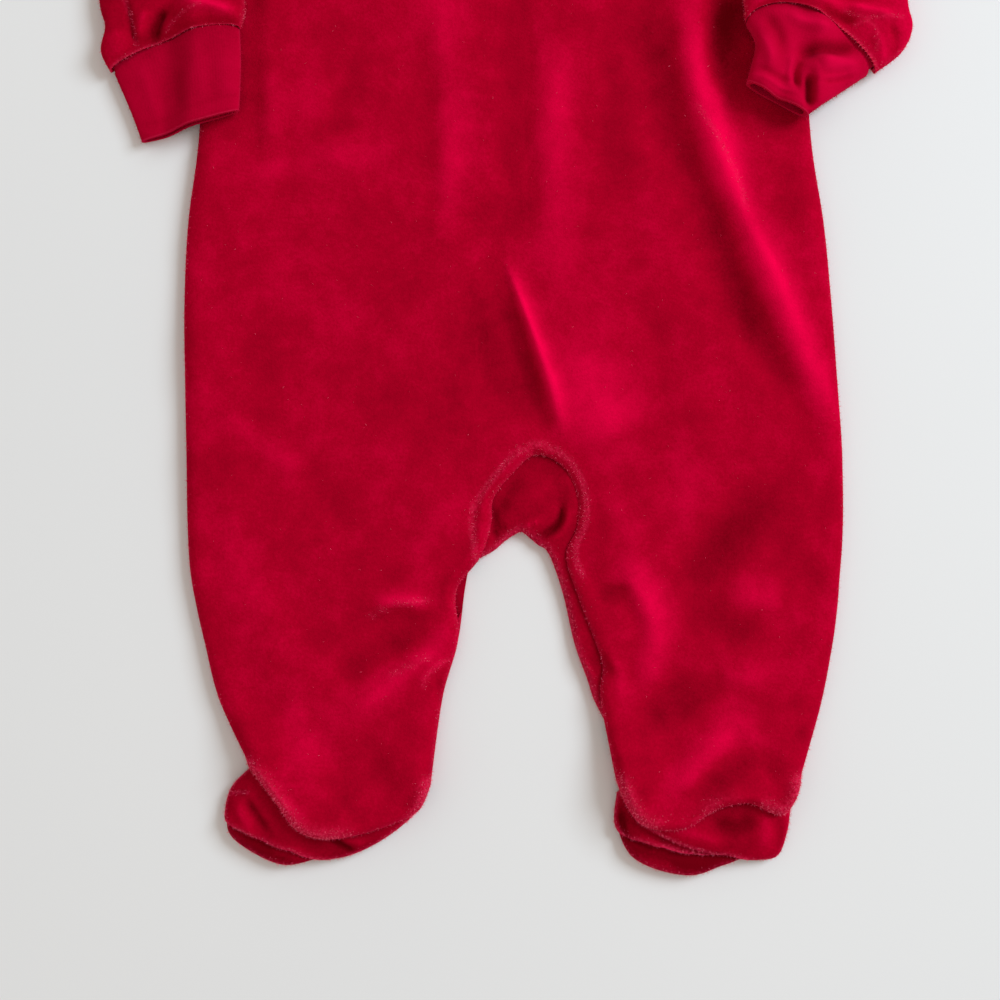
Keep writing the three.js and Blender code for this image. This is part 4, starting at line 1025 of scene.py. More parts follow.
# %% Strips folded over an edge


def folded_strip(seam, fold, under, top, lap, straights=14, bends=14):
    """Outer and inner grids from arrays of x and y along the strip."""
    top = np.broadcast_to(top, len(seam))
    radius = top / 2
    grids = []
    upper, lower = fold - seam, fold - under
    upper_length = np.linalg.norm(upper, axis=1)
    lower_length = np.linalg.norm(lower, axis=1)
    upper_way = upper / upper_length[:, None]
    lower_way = lower / lower_length[:, None]
    for inset in (0, CLOTH):
        columns = []
        for t in np.linspace(0, 1, straights, endpoint=False):
            reach = mix(-lap, upper_length - radius, t)
            plan_xy = seam + upper_way * reach[:, None]
            columns.append(np.column_stack([plan_xy, top - inset]))
        for angle in np.linspace(math.pi / 2, -math.pi / 2, bends):
            way = upper_way if angle >= 0 else lower_way
            back = radius - (radius - inset) * math.cos(angle)
            height = radius + (radius - inset) * math.sin(angle)
            columns.append(np.column_stack([fold - way * back[:, None], height]))
        for t in np.linspace(1, 0, straights + 1)[1:]:
            reach = (lower_length - radius) * t
            plan_xy = under + lower_way * reach[:, None]
            columns.append(np.column_stack([plan_xy, np.full(len(seam), inset)]))
        grids.append(np.stack(columns, axis=1))
    return grids


print("strips can be folded")

# %% [markdown]
# The gusset lets the legs open. It is a fold of velour that looks out of the arch, rumpled where it
# was pushed up, and its strip runs on down the right inner leg.

# %% Gusset
GUSSET_FOLDS = table(FOLD_COLUMNS, [
    [18.4, 14, 17, 4, 7, -1.2, 1.5, -2.6], [2.4, 1.8, 6.6, 4.8, 11.4, 4.8, 1.2, 1.6],
    [-9, 12, -8, 4, -8, -2, 2.0, -1.4], [-7, 2, -5, 2.6, -3, 3, 2.0, -0.8],
    [16, 25, 24, 18, 24.6, 4, 3.0, 0.7],
    [21, 12, 19.4, 2, 12, -3, 1.5, 0.8], [-6, 6, -3, 16, 4, 24, 2.4, -0.8],
    [4, 14, 10, 18, 16, 20, 3.0, 0.7], [25.2, -45.6, 29, -52.4, 32.8, -59.2, 0.9, 0.5],
    [18, -18, 21, -30, 25, -42, 1.6, -0.5],
])


def gusset_piece():
    place = np.linspace(0, len(GUSSET["seamX"]) - 1, 150)
    at = {name: along(values, place) for name, values in GUSSET.items()}
    parts = ("seam", "fold", "under")
    seam, fold, under = (np.column_stack([at[part + "X"], at[part + "Y"]]) for part in parts)
    outer, inner = folded_strip(seam, fold, under, GUSSET_TOP, UNDER_FRONT)
    on_top = smooth(GUSSET_TOP / 2, GUSSET_TOP - 0.3, outer[..., 2])
    folds = fold_rise(GUSSET_FOLDS, outer[..., 0], outer[..., 1]) * on_top
    outer[..., 2] += folds
    inner[..., 2] += folds
    # Painted shade: the gusset's colour starts darker than the front's, as it lies in the recess of the arch,
    # with a painted highlight and painted shade on its folds.
    nap = np.clip(0.30 + 0.16 * folds + 0.12 * ripples(outer[..., 0], outer[..., 1], 5), 0, 1)
    fuzz = bump(away(outer, fold), 2.0)
    return cloth_wall("gusset_velour", [(outer, inner, nap, fuzz, 0, False)])


gusset = gusset_piece()

# %% [markdown]
# A foot is a sole that turns up all round the toes, and an upper that lies inside its lip and runs in
# under the leg. The ankle of the leg has slid down over it, so only the toes look out. Shallow dents
# show where the empty foot has folded in on itself.

# %% Feet
FOOT_COLUMNS = 130
SOLE_SHOWN = {"left": (2.7, 5.7), "right": (4.3, 8.5)}
SEAM_INSETS = {
    "left": [3.6, 4.2, 4.6, 5, 7, 7.4, 3.4, 3.2, 3.2, 3.2, 3.2],
    "right": [3.6, 4, 4, 3.6, 3.4, 4.6, 9.2, 10, 7.5, 4.6, 3.6],
}
SEWN_GAP = 0.12
HIDDEN_SOLE_TOP = 4.4
HIDDEN_SOLE_INSET = 2.2
UPPER_ROLL = 5
FOOT_FOLDS = table(FOLD_COLUMNS, [
    [-108, -105, -104, -112, -98, -120, 1.6, -1.4], [-112, -106, -109, -114, -103, -122, 2.2, 0.8],
    [-74, -121, -69.5, -124.5, -65, -127.6, 1.4, -1.8], [-70, -121, -65, -123, -60, -124, 2.0, 0.9],
    [-101, -124, -92, -128, -82, -128, 2.4, 0.6], [-115, -104, -111, -103.6, -107, -103.2, 1.0, -0.7],
    [52, -118, 66, -125.4, 86, -130, 1.5, -1.5], [55, -113, 69, -119, 86, -124, 3.2, 1.2],
    [96, -108, 100, -118, 98, -128, 4.0, 1.1], [78, -113, 88, -117, 96, -113, 3.4, -1.4],
    [43, -110, 43.6, -118, 45, -123, 1.6, -1.8], [104, -112, 106, -119, 105, -127, 2.4, -0.7],
])


def heel_line(side, share):
    ends = np.array([
        [SIDES[side + "X"][ANKLE_ROW], SIDES[side + "Y"][ANKLE_ROW]],
        [BACK_MIDDLE[side + "X"][ANKLE_ROW], BACK_MIDDLE[side + "Y"][ANKLE_ROW]],
    ])
    inset = HEEL_INSET / np.linalg.norm(ends[1] - ends[0])
    t = mix(inset, 1 - inset, share)[:, None]
    return ends[0] * (1 - t) + ends[1] * t - [0, SEAM_GAP]


def foot_columns(side):
    share = np.linspace(0, 1, FOOT_COLUMNS)
    x, y, place = foot_curves[side](share)
    start, end = SOLE_SHOWN[side]
    hidden = 1 - smooth(start - 0.8, start + 0.8, place) * smooth(end + 0.8, end - 0.8, place)
    outline, heel = np.column_stack([x, y]), heel_line(side, share)
    length = np.linalg.norm(heel - outline, axis=1)
    seam_inset = np.maximum(np.interp(place, np.arange(len(SEAM_INSETS[side])), SEAM_INSETS[side]), 3.2)
    return outline, heel, length, seam_inset, (heel - outline) / length[:, None], hidden


# Feet start darker than the front, with a painted highlight on fold ridges, painted shade in the troughs and
# a random ripple.
def foot_shading_and_nap(folds, x, y):
    return np.clip(0.30 + 0.2 * folds + 0.15 * ripples(x, y, 9), 0, 1)


def sole_piece(side):
    outline, heel, length, seam_inset, to_heel, hidden = foot_columns(side)
    fold = outline + to_heel * (HIDDEN_SOLE_INSET * hidden)[:, None]
    seam = outline + to_heel * (seam_inset + HIDDEN_SOLE_INSET * hidden)[:, None]
    top = mix(SOLE_LIP, HIDDEN_SOLE_TOP, hidden)
    outer, inner = folded_strip(seam, fold, heel, top, 0)
    on_top = smooth(1.5, 5.5, outer[..., 2]) * (1 - hidden)[:, None]
    folds = fold_rise(FOOT_FOLDS, outer[..., 0], outer[..., 1]) * on_top
    to_seam = away(outer, seam)
    welt = -0.7 * bump(to_seam - 1.4, 1.4) * on_top
    outer[..., 2] += folds + welt
    inner[..., 2] += folds * 0.8
    # Painted shade: the sole darkens just beyond its seam, under the lip of the upper.
    nap = foot_shading_and_nap(folds, outer[..., 0], outer[..., 1]) - 0.34 * bump(to_seam - 3, 4) * on_top
    fuzz = 0.6 * bump(away(outer, outline), 1.6)
    return cloth_wall("sole_" + side + "_velour", [(outer, inner, nap, fuzz, 0, False)])


def upper_piece(side):
    outline, heel, length, seam_inset, to_heel, hidden = foot_columns(side)
    start = mix(seam_inset + SEWN_GAP, 0, hidden)
    end = np.maximum(length - UPPER_TUCK, start + LEAST_UPPER)
    reach = start + (end - start) * np.linspace(0, 1, 44)[:, None] ** 1.3
    x = outline[:, 0] + to_heel[:, 0] * reach
    y = outline[:, 1] + to_heel[:, 1] * reach
    crown = UPPER_CROWN * 0.6 * smooth(3, 12, reach) * smooth(-6, 8, length - reach)
    folds = fold_rise(FOOT_FOLDS, x, y)
    groove = 0.5 * bump(reach - start - 1.2, 1.2) * (1 - hidden)
    top = SOLE_LIP + crown + folds + groove
    flat = (1 - np.minimum(reach / UPPER_ROLL, 1)) * hidden
    up = np.sqrt(1 - flat * flat)
    low = HIDDEN_SOLE_TOP / 2
    z = low + (top - low) * up
    normal = np.stack([-to_heel[:, 0] * flat, -to_heel[:, 1] * flat, up], axis=-1)
    outer = np.stack([x, y, z], axis=-1)
    inner = outer - CLOTH * normal
    inner[..., 2] = np.minimum(inner[..., 2], SOLE_LIP + crown + groove - CLOTH)
    nap = foot_shading_and_nap(folds, x, y)
    lobe = bump(to_rim(LOBE_RIM, x, y), 0.7)
    crease = 0.8 * bump(to_rim(LEFT_CREASE, x, y), 0.6)
    fuzz = np.maximum.reduce([bump(reach - start, 1.2), bump(reach, 1.3) * hidden, lobe, crease])
    return cloth_wall("upper_" + side + "_velour", [(outer, inner, nap, fuzz, 0, False)])


soles = {side: sole_piece(side) for side in FEET}
uppers = {side: upper_piece(side) for side in FEET}

# %% [markdown]
# A sleeve is a flattened tube. It starts at the armhole, lies over the side of the body and ends in
# its cuff. The lower half follows what it rests on, the surface or the edge of the body, and the upper
# half carries the folds. Each ring has the same number of points, so the tube closes on itself.

# %% Sleeves and cuffs: sizes
SLEEVE_COLUMNS = ["outX", "outY", "inX", "inY", "cap", "height"]
SLEEVES = {
    "left": table(SLEEVE_COLUMNS, [
        [-103.8, 362.6, -121.9, 250.8, 1, 7.2], [-118, 352, -123.2, 249.2, 0.8, 8],
        [-134, 336, -123, 246.8, 0.5, 9], [-148, 314, -120.4, 242, 0.25, 9.4],
        [-158, 288, -117, 237, 0.1, 9], [-164.5, 260, -113.4, 230, 0, 8.6],
        [-167, 236, -110, 221, 0, 8.4], [-167, 214, -108, 213, 0, 8.4],
        [-164.6, 204, -107.6, 208.6, 0, 9.4], [-166.2, 194, -108.4, 205, 0, 9.8],
        [-162.8, 186.2, -109.4, 201.6, 0, 8.6],
    ]),
    "right": table(SLEEVE_COLUMNS, [
        [104.4, 362.8, 118.8, 252, 1, 7.2], [117, 353, 120.4, 250.2, 0.8, 8.4],
        [130, 338, 119.4, 247.6, 0.5, 9.6], [143, 316, 113.6, 241, 0.25, 10.6],
        [152, 290, 108, 235.6, 0.1, 11], [156, 262, 101, 228.6, 0, 11],
        [157, 238, 94.6, 221, 0, 11], [157.4, 214, 91, 213.4, 0, 11.4],
        [159.2, 203, 91.2, 209, 0, 12], [155, 193.4, 91.4, 206, 0, 12],
        [144.6, 185.4, 91.4, 203.6, 0, 10.6],
    ]),
}
CUFF_COLUMNS = ["outX", "outY", "inX", "inY", "height", "fold"]
CUFFS = {
    "left": table(CUFF_COLUMNS, [
        [-161, 184.8, -109.8, 200.8, 6.4, 0], [-157, 175.6, -109.4, 190.6, 6.2, 0],
        [-153.4, 166.8, -109.6, 179.8, 6, 0], [-150.4, 158.4, -110.2, 169.2, 6, 0],
    ]),
    "right": table(CUFF_COLUMNS, [
        [141.4, 184.6, 92, 202.6, 9.4, -1.5], [132.4, 178.6, 95.6, 195, 10.4, -3],
        [124, 172.6, 94, 187, 11, -3.6], [116, 166.8, 92, 179.8, 10.6, -3.2],
    ]),
}
SLEEVE_FOLDS = table(FOLD_COLUMNS, [
    [-139.6, 210, -142.4, 204.6, -145, 197, 1.9, -3.4], [-147, 210, -149, 204, -150, 197, 2.4, 1.6],
    [-156, 216, -153.4, 204, -151.6, 196, 1.3, -1.6], [-162, 202, -159, 196, -157, 190, 5.0, 1.8],
    [-134, 210.6, -122, 209.4, -109, 206, 2.6, 2.6], [-136, 218, -122, 217, -108, 213, 2.8, -1.8],
    [-160, 226, -148, 222, -136, 224, 4.0, 1.4], [-166, 234, -152, 230, -134, 236, 4.0, -1.4],
    [-160, 290, -140, 262, -124, 246, 5.0, 1.6], [-150, 268, -140, 244, -122, 232, 4.0, -1.4],
    [-164, 250, -150, 252, -130, 262, 4.0, 1.2], [-150, 320, -132, 300, -116, 284, 6.0, 1.0],
    [93, 209, 104, 214.6, 118, 212, 2.6, 2.2], [95, 217, 106, 222, 122, 220, 2.6, -1.8],
    [120, 208, 128, 206, 136, 204, 2.2, -1.9], [132, 210.6, 141, 208.6, 151, 207, 2.2, 2.0],
    [143.6, 200, 146.4, 193.6, 147, 188, 1.6, 1.4], [149, 204, 151.6, 197, 151, 191, 1.6, -1.2],
    [128, 216, 140, 218, 152, 226, 3.6, -1.8], [108, 228, 120, 232, 140, 240, 5.0, 2.0],
    [112, 240, 126, 262, 142, 282, 5.0, 1.8], [104, 246, 118, 250, 134, 262, 4.0, -1.6],
    [120, 330, 128, 306, 124, 280, 6.0, 1.0],
])
CUFF_BOW = {"left": 5.5, "right": 14}
# Painted light: the right sleeve and cuff are painted lighter than the left ones, on the side toward the
# window.
SLEEVE_SHADING_AND_NAP = {"left": 0.4, "right": 0.6}
CUFF_SHADING_AND_NAP = {"left": 0.5, "right": 0.68}
RING_POINTS = 150
SLEEVE_END_DROP = {"left": 1.5, "right": 0.6}
SLEEVE_END_CLOTH = 0.6
TUCK_SIDES = 0.9
TUCK_PLACE = -0.42


def support(x, y):
    """Height of what a sleeve rests on: the surface, or the body's side with a slope up to it."""
    depth = np.full(x.shape, -np.inf)
    for sign, run in ((-1, body_sides[0]), (1, body_sides[1])):
        distance, place = nearest(run, x, y)
        edge_x = np.interp(place, np.arange(len(run)), run[:, 0])
        own = np.where(np.abs(x) < np.abs(edge_x), distance, -distance)
        depth = np.where(np.sign(x) == sign, own, depth)
    return SUPPORT_HEIGHT * smooth(-SUPPORT_RAMP, -1, depth) * smooth(ARMPIT_Y, ARMPIT_Y - 8, y)


def rings(rows, place, thickness, bend, relief, tuck=0):
    """Outer and inner grids of a flattened tube, slimmer where it is tucked into another."""
    before = np.minimum(place, 0)
    at = {
        name: (along(values, place - before) + before * (values[1] - values[0]))[:, None]
        for name, values in rows.items()
    }
    angle = np.linspace(0, 2 * math.pi, RING_POINTS, endpoint=False)[None, :]
    is_top = np.sin(angle) > 0
    width = np.hypot(at["inX"] - at["outX"], at["inY"] - at["outY"])
    fullness = np.minimum(1, 1.12 * np.sqrt(np.abs(np.sin(angle))))
    grids = []
    for inset in (0, thickness):
        side_inset = (inset + TUCK_SIDES * tuck) / width
        across = mix(side_inset, 1 - side_inset, (1 - np.cos(angle)) / 2)
        more_x, more_y = bend(at, across)
        x = mix(at["outX"], at["inX"], across) + more_x
        y = mix(at["outY"], at["inY"], across) + more_y
        rise = np.where(is_top, relief(at, across, x, y) * fullness, 0)
        least = 2 * thickness + 0.8 + 2 * tuck
        total = np.maximum(at["height"] + rise - tuck, least) - 2 * (inset + tuck)
        z = support(x, y) + inset + 2 * tuck + total * (0.5 + np.where(is_top, 0.5, -0.5) * fullness)
        grids.append(np.stack([x, y, z], axis=-1))
    return (*grids, np.broadcast_to(angle, x.shape), np.broadcast_to(place[:, None], x.shape))


print("sleeve sizes ready")

# %% [markdown]
# The sleeves bow up the arm at their ends, where the cuffs pull them in, and the cloth is thinner there
# because it rolls over the rib.

# %% Sleeves


def bow(side, across):
    """How far the seam of sleeve and cuff bows up the arm."""
    return CUFF_BOW[side] * np.sin(math.pi * np.clip(across, 0, 1)) ** 0.6


# Lines on the sleeves' folded flaps where fibres grow and a pale highlight is painted.
SLEEVE_RIMS = {
    "left": [
        line([-156, 214], [-154, 208], [-152, 202], [-151.2, 196]),
        line([-139.2, 201.2], [-135.6, 204.8], [-130, 207.4], [-124, 209.2]),
    ],
    "right": [
        line([131.2, 208.2], [136, 206.6], [140.4, 205.6], [147, 206.2], [154.4, 206.4]),
        line([135.2, 203.2], [140, 204.4], [143.4, 202], [144.4, 197], [144, 193.2]),
    ],
}


def sleeve_piece(side):
    rows = SLEEVES[side]

    def bend(at, across):
        found = []
        for name in "XY":
            straight = mix(SIDES[side + name][0], SIDES[side + name][ARMPIT_ROW], across)
            found.append(at["cap"] * (along(SIDES[side + name], across * ARMPIT_ROW) - straight))
        found[1] = found[1] + smooth(6, 10.4, place)[:, None] * bow(side, across)
        return found

    def relief(at, across, x, y):
        end = -SLEEVE_END_DROP[side] * smooth(9.1, 10, place)[:, None]
        return fold_rise(SLEEVE_FOLDS, x, y) + ripples(x, y, 13) + end

    place = np.linspace(0, len(rows["outX"]) - 1, 110)
    thickness = mix(CLOTH, SLEEVE_END_CLOTH, smooth(9.4, 10, place))[:, None]
    outer, inner, angle, rows_down = rings(rows, place, thickness, bend, relief)
    folds = fold_rise(SLEEVE_FOLDS, outer[..., 0], outer[..., 1])
    # Painted highlight on fold ridges and painted shade in the troughs, with a random ripple.
    nap = np.clip(SLEEVE_SHADING_AND_NAP[side] + 0.13 * folds + 0.1 * ripples(outer[..., 0], outer[..., 1], 3), 0, 1)
    rims = [0.45 * bump(to_rim(rim, outer[..., 0], outer[..., 1]), 0.7) for rim in SLEEVE_RIMS[side]]
    rims = np.maximum(*rims) * (np.sin(angle) > 0)
    fuzz = np.maximum.reduce([0.5 * bump(np.abs(np.sin(angle)), 0.16), bump(rows_down - 10, 0.14), rims])
    sleeve_ends[side] = outer[-1, 4:RING_POINTS // 2 - 4] + (0, 0, STITCH_RISE)
    return cloth_wall("sleeve_" + side + "_velour", [(outer, inner, nap, fuzz, 0, False)], True)


STITCH_RISE = 0.3
sleeve_ends = {}
sleeves = {side: sleeve_piece(side) for side in SLEEVES}

# %% [markdown]
# A cuff is a shorter tube of rib that starts a little way inside the end of its sleeve. The right one
# is bent in on itself, with a curled hem.

# %% Cuffs
CUFF_FOLDS = table(FOLD_COLUMNS, [
    [112, 189.4, 122, 192.4, 135, 194, 2.8, -4.6], [113.4, 189, 110.6, 183, 112.6, 176, 1.5, -2.6],
    [110, 192, 109.2, 183, 107, 177, 2.4, 2.0], [116.4, 182, 116, 176, 116.4, 168, 2.0, -4.6],
    [94, 181.8, 104, 177.6, 112, 174.8, 1.4, 1.0], [94, 185, 104, 181, 110, 179, 1.4, -1.0],
    [119.6, 186, 128, 187.6, 138, 186.6, 3.6, 3.0], [120.4, 178.4, 128, 181, 136, 184, 0.9, -1.4],
    [121, 181.8, 128, 184, 136, 186.6, 0.9, -1.1], [97, 205, 103, 199, 105, 189, 2.6, -1.8],
    [93, 199, 98.6, 193, 100.6, 184, 2.6, 1.6], [107, 206, 116, 202.6, 128, 201.6, 2.6, 2.0],
    [-135, 188, -134.6, 178, -134, 168, 3.2, -1.1], [-115, 194, -114, 182, -113, 174, 4, 0.8],
    [-150, 188, -147, 178, -143, 166, 3, 0.5], [-126, 194, -125, 182, -124, 172, 3, 0.4],
])


def knit_map(piece):
    """A map whose u goes round the tube and v along it, for the wales of the knit."""
    mesh = piece.data
    corners = np.zeros(len(mesh.loops), int)
    mesh.loops.foreach_get("vertex_index", corners)
    flat = []
    for label in ("turn", "ahead"):
        values = np.zeros(len(mesh.vertices), np.float32)
        mesh.attributes[label].data.foreach_get("value", values)
        flat.append(values[corners].reshape(-1, 4))
    across_seam = np.ptp(flat[0], axis=1) > 0.5
    flat[0][across_seam] += flat[0][across_seam] < 0.5
    layer = mesh.uv_layers.new(name="cloth")
    layer.data.foreach_set("uv", np.stack(flat, axis=-1).ravel())
    return piece


def knit_tube(name, outer, inner, nap, fuzz, angle, ahead):
    turn = angle / (2 * math.pi)
    quads = wall_quads(*outer.shape[:2], rings=True)
    points = np.vstack([outer.reshape(-1, 3), inner.reshape(-1, 3)])
    attributes = {
        "nap": np.concatenate([nap.ravel(), nap.ravel()]),
        "fuzz": np.concatenate([fuzz.ravel(), np.zeros(fuzz.size)]),
        "turn": np.tile(turn.ravel(), 2),
        "ahead": np.tile(ahead.ravel(), 2),
    }
    return knit_map(closed_wall(name, points, quads, attributes, RIB_KNIT))


def cuff_piece(side):
    rows = CUFFS[side]

    def bend(at, across):
        return 0, smooth(3, 0, place)[:, None] * bow(side, across)

    def relief(at, across, x, y):
        hem = 0.5 * bump(place - 2.8, 0.16)[:, None] - 0.4 * bump(place - 2.45, 0.1)[:, None]
        return at["fold"] * bump(across - 0.5, 0.16) + fold_rise(CUFF_FOLDS, x, y) + hem

    place = np.linspace(TUCK_PLACE, len(rows["outX"]) - 1, 74)
    tuck = 0.5 * smooth(-0.02, -0.16, place)[:, None]
    outer, inner, angle, ahead = rings(rows, place, RIB, bend, relief, tuck)
    folds = fold_rise(CUFF_FOLDS, outer[..., 0], outer[..., 1])
    # Painted highlight and shade on the cuff's folds, and painted shade where it goes in under the end of the
    # sleeve.
    nap = np.clip(CUFF_SHADING_AND_NAP[side] + 0.15 * folds - 0.1 * bump(ahead, 0.3), 0, 1)
    fuzz = np.maximum(0.5 * bump(np.abs(np.sin(angle)), 0.1), bump(ahead - 3, 0.06))
    return knit_tube("cuff_" + side + "_rib", outer, inner, nap, fuzz, angle, ahead / 3)


cuffs = {side: cuff_piece(side) for side in CUFFS}

# %% [markdown]
# The neckband is out of the photograph's frame, so it is kept as plain as such bands are: one band of
# rib, folded double and joined into a ring. Its front dips deeper than its back.

# %% Neckband
NECKBAND_ROWS = 16
NECKBAND_COLUMNS = 160


def neckband_piece():
    t = np.linspace(0, 1, NECKBAND_ROWS)[:, None]
    angle = np.linspace(0, 2 * math.pi, NECKBAND_COLUMNS, endpoint=False)[None, :]
    is_top = np.sin(angle) >= 0
    bend = np.abs(np.sin(angle))
    fullness = np.minimum(1, 1.12 * np.sqrt(bend))
    half_width = NECK_HALF_WIDTH - SEAM_GAP - t * (NECKBAND_WIDTH - SEAM_GAP)
    top = NECK_TOP + 2 * t
    dip = np.where(is_top, FRONT_NECK_DIP, BACK_NECK_DIP) - (NECKBAND_WIDTH - 2) * t - SEAM_GAP
    grids = []
    for inset in (0, RIB):
        total = NECKBAND_HEIGHT - 2 * inset
        x = -(half_width - inset) * np.cos(angle)
        y = top - dip * bend
        z = inset + total * (0.5 + np.where(is_top, 0.5, -0.5) * fullness) + 0 * t
        grids.append(np.stack(np.broadcast_arrays(x, y, z), axis=-1))
    shape = grids[0].shape[:2]
    turn, ahead = np.broadcast_to(angle, shape), np.broadcast_to(t, shape)
    nap, fuzz = np.full(shape, 0.5), bump(1 - ahead, 0.1) + 0.5 * bump(ahead, 0.1)
    return knit_tube("neckband_rib", *grids, nap, fuzz, turn, ahead)


neckband = neckband_piece()

# %% [markdown]
# A press stud is two caps clamped through both plackets. Each is a lathe shape: a domed cap with a
# rolled rim, a short shank, and the other cap. A profile turned round an axis is the natural way.

# %% Press studs
STUD_SHANK = 2.2
STUD_TURNS = 48
STUD_SHARP = 40


def stud_piece(number, y):
    total = PLACKET_STEP + CLOTH
    rim, dome = STUD_RADIUS, STUD_CAP
    profile = [
        (0, 0.12), (rim * 0.30, 0.10), (rim * 0.62, 0.04), (rim * 0.9, 0.0), (rim, 0.2), (rim, 0.45),
        (rim * 0.94, dome), (STUD_SHANK, dome), (STUD_SHANK, total - dome), (rim * 0.94, total - dome),
        (rim, total - 0.45), (rim, total - 0.2), (rim * 0.9, total), (rim * 0.62, total - 0.02),
        (rim * 0.42, total - 0.34), (rim * 0.2, total - 0.38), (0, total - 0.38),
    ]
    angle = np.linspace(0, 2 * math.pi, STUD_TURNS, endpoint=False)
    inner_rows = profile[1:-1]
    points = [(0, y, profile[0][1])]
    for radius, height in inner_rows:
        points += [(radius * math.cos(a), y + radius * math.sin(a), height) for a in angle]
    points.append((0, y, profile[-1][1]))
    faces = []
    last = len(points) - 1
    for k in range(STUD_TURNS):
        after = (k + 1) % STUD_TURNS
        faces.append([0, 1 + after, 1 + k])
        for row in range(len(inner_rows) - 1):
            a, b = 1 + row * STUD_TURNS, 1 + (row + 1) * STUD_TURNS
            faces.append([a + k, a + after, b + after, b + k])
        base = 1 + (len(inner_rows) - 1) * STUD_TURNS
        faces.append([last, base + k, base + after])
    mesh = bpy.data.meshes.new("snap_%d_plastic" % number)
    mesh.from_pydata(to_frame(points), [], faces)
    return shaded(mesh, STUD_SHARP, STUD_PLASTIC)


studs = [stud_piece(k + 1, y) for k, y in enumerate(stud_ys)]
print(len(studs), "press studs")

# %% [markdown]
# Pile sticks out wherever velour turns over an edge, and in the light it draws a pale line there. Real
# velour has loops cut open by a blade. Here a small tree scatters tapered fibres over the cloth, as
# thickly as the fuzz attribute says, each a little tilted, all from one seed. The velour's
# fibres are coloured a pale pink, a painted highlight for the light that they catch.

# %% Fibres of the pile
PILE_LENGTH = 1.1 * MM
PILE_RADIUS = 0.075 * MM
PILE_PER_SQUARE_METRE = 2.4e6
# Painted highlight: the fibres' two colours, both far paler than the velour's dye.
PILE_HIGHLIGHT_DIM = (0.66, 0.012, 0.06)
PILE_HIGHLIGHT_BRIGHT = (0.98, 0.17, 0.29)


def new_tree(name, sizes):
    """A node tree that takes cloth and named sizes, with its named inputs as wires."""
    tree = bpy.data.node_groups.new(name, "GeometryNodeTree")
    tree.interface.new_socket("Cloth", in_out="INPUT", socket_type="NodeSocketGeometry")
    for label in sizes:
        tree.interface.new_socket(label, in_out="INPUT", socket_type="NodeSocketFloat")
    tree.interface.new_socket("Made", in_out="OUTPUT", socket_type="NodeSocketGeometry")
    start = tree.nodes.new("NodeGroupInput")
    return tree, {label: Wire(tree, start.outputs[label]) for label in ["Cloth", *sizes]}


def end_tree(tree, instances, material):
    real = node(tree, "GeometryNodeRealizeInstances", None, {0: instances})
    dyed = node(tree, "GeometryNodeSetMaterial", None, {"Geometry": real, "Material": material})
    tree.links.new(dyed.socket, tree.nodes.new("NodeGroupOutput").inputs[0])
    return tree


def pile_tree(material, seed=11):
    tree, given = new_tree("Pile " + material.name, ["Density", "Length", "Radius"])
    fuzz = node(tree, "GeometryNodeInputNamedAttribute", {"data_type": "FLOAT"}, {"Name": "fuzz"})
    spread = tree.nodes.new("GeometryNodeDistributePointsOnFaces")
    tree.links.new(given["Cloth"].socket, spread.inputs["Mesh"])
    height = node(tree, "ShaderNodeSeparateXYZ", None, {0: node(tree, "GeometryNodeInputPosition")}, 2)
    off_floor = (height * 1000.0 - 2.2).clamped()
    tree.links.new((fuzz * off_floor * given["Density"]).socket, spread.inputs["Density"])
    spread.inputs["Seed"].default_value = seed
    tilt = node(tree, "FunctionNodeRandomValue", {"data_type": "FLOAT_VECTOR"}, {
        0: (-0.8, -0.8, 0.0), 1: (0.8, 0.8, 6.28), 8: seed + 1,
    })
    turned = node(tree, "FunctionNodeRotateRotation", {"rotation_space": "LOCAL"}, {
        0: Wire(tree, spread.outputs["Rotation"]),
        1: node(tree, "FunctionNodeEulerToRotation", None, {0: tilt}),
    })
    grown = node(tree, "FunctionNodeRandomValue", {"data_type": "FLOAT"}, {2: 0.45, 3: 1.25, 8: seed + 2}, 1)
    fibre = node(tree, "GeometryNodeMeshCone", {"fill_type": "NONE"}, {
        "Vertices": 3, "Radius Top": 0.0, "Radius Bottom": given["Radius"], "Depth": given["Length"],
    })
    instances = node(tree, "GeometryNodeInstanceOnPoints", None, {
        "Points": Wire(tree, spread.outputs["Points"]), "Instance": fibre, "Rotation": turned, "Scale": grown,
    })
    return end_tree(tree, instances, material)


def grow(base, tree, name, sizes):
    """A plain mesh from a tree that has run on a mesh."""
    piece = linked(name, base)
    modifier = piece.modifiers.new("Nodes", "NODES")
    modifier.node_group = tree
    for item in tree.interface.items_tree:
        if item.in_out == "INPUT" and item.name in sizes:
            modifier[item.identifier] = sizes[item.name]
    depsgraph = bpy.context.evaluated_depsgraph_get()
    mesh = bpy.data.meshes.new_from_object(piece.evaluated_get(depsgraph))
    piece.modifiers.remove(modifier)
    piece.data = mesh
    mesh.name = name
    print(name, "has", len(mesh.polygons), "faces")
    return piece


def pile_material():
    material, tree, where = new_material("Velour pile")
    tips = noise(tree, where, 700.0, 1.0, 0.5)
    colour = blend(tree, (tips * 2.4 - 0.7).clamped(), PILE_HIGHLIGHT_DIM, PILE_HIGHLIGHT_BRIGHT)
    return surfaced(material, {"Base Color": colour}, {"Roughness": 0.9, "Specular IOR Level": 0.0})


velour_pile, rib_pile = pile_tree(pile_material()), pile_tree(RIB_KNIT, 23)


def pile_of(cloth):
    tree = rib_pile if cloth.name.endswith("rib") else velour_pile
    return grow(cloth.data, tree, cloth.name.rsplit("_", 1)[0] + "_pile", {
        "Density": PILE_PER_SQUARE_METRE, "Length": PILE_LENGTH, "Radius": PILE_RADIUS,
    })


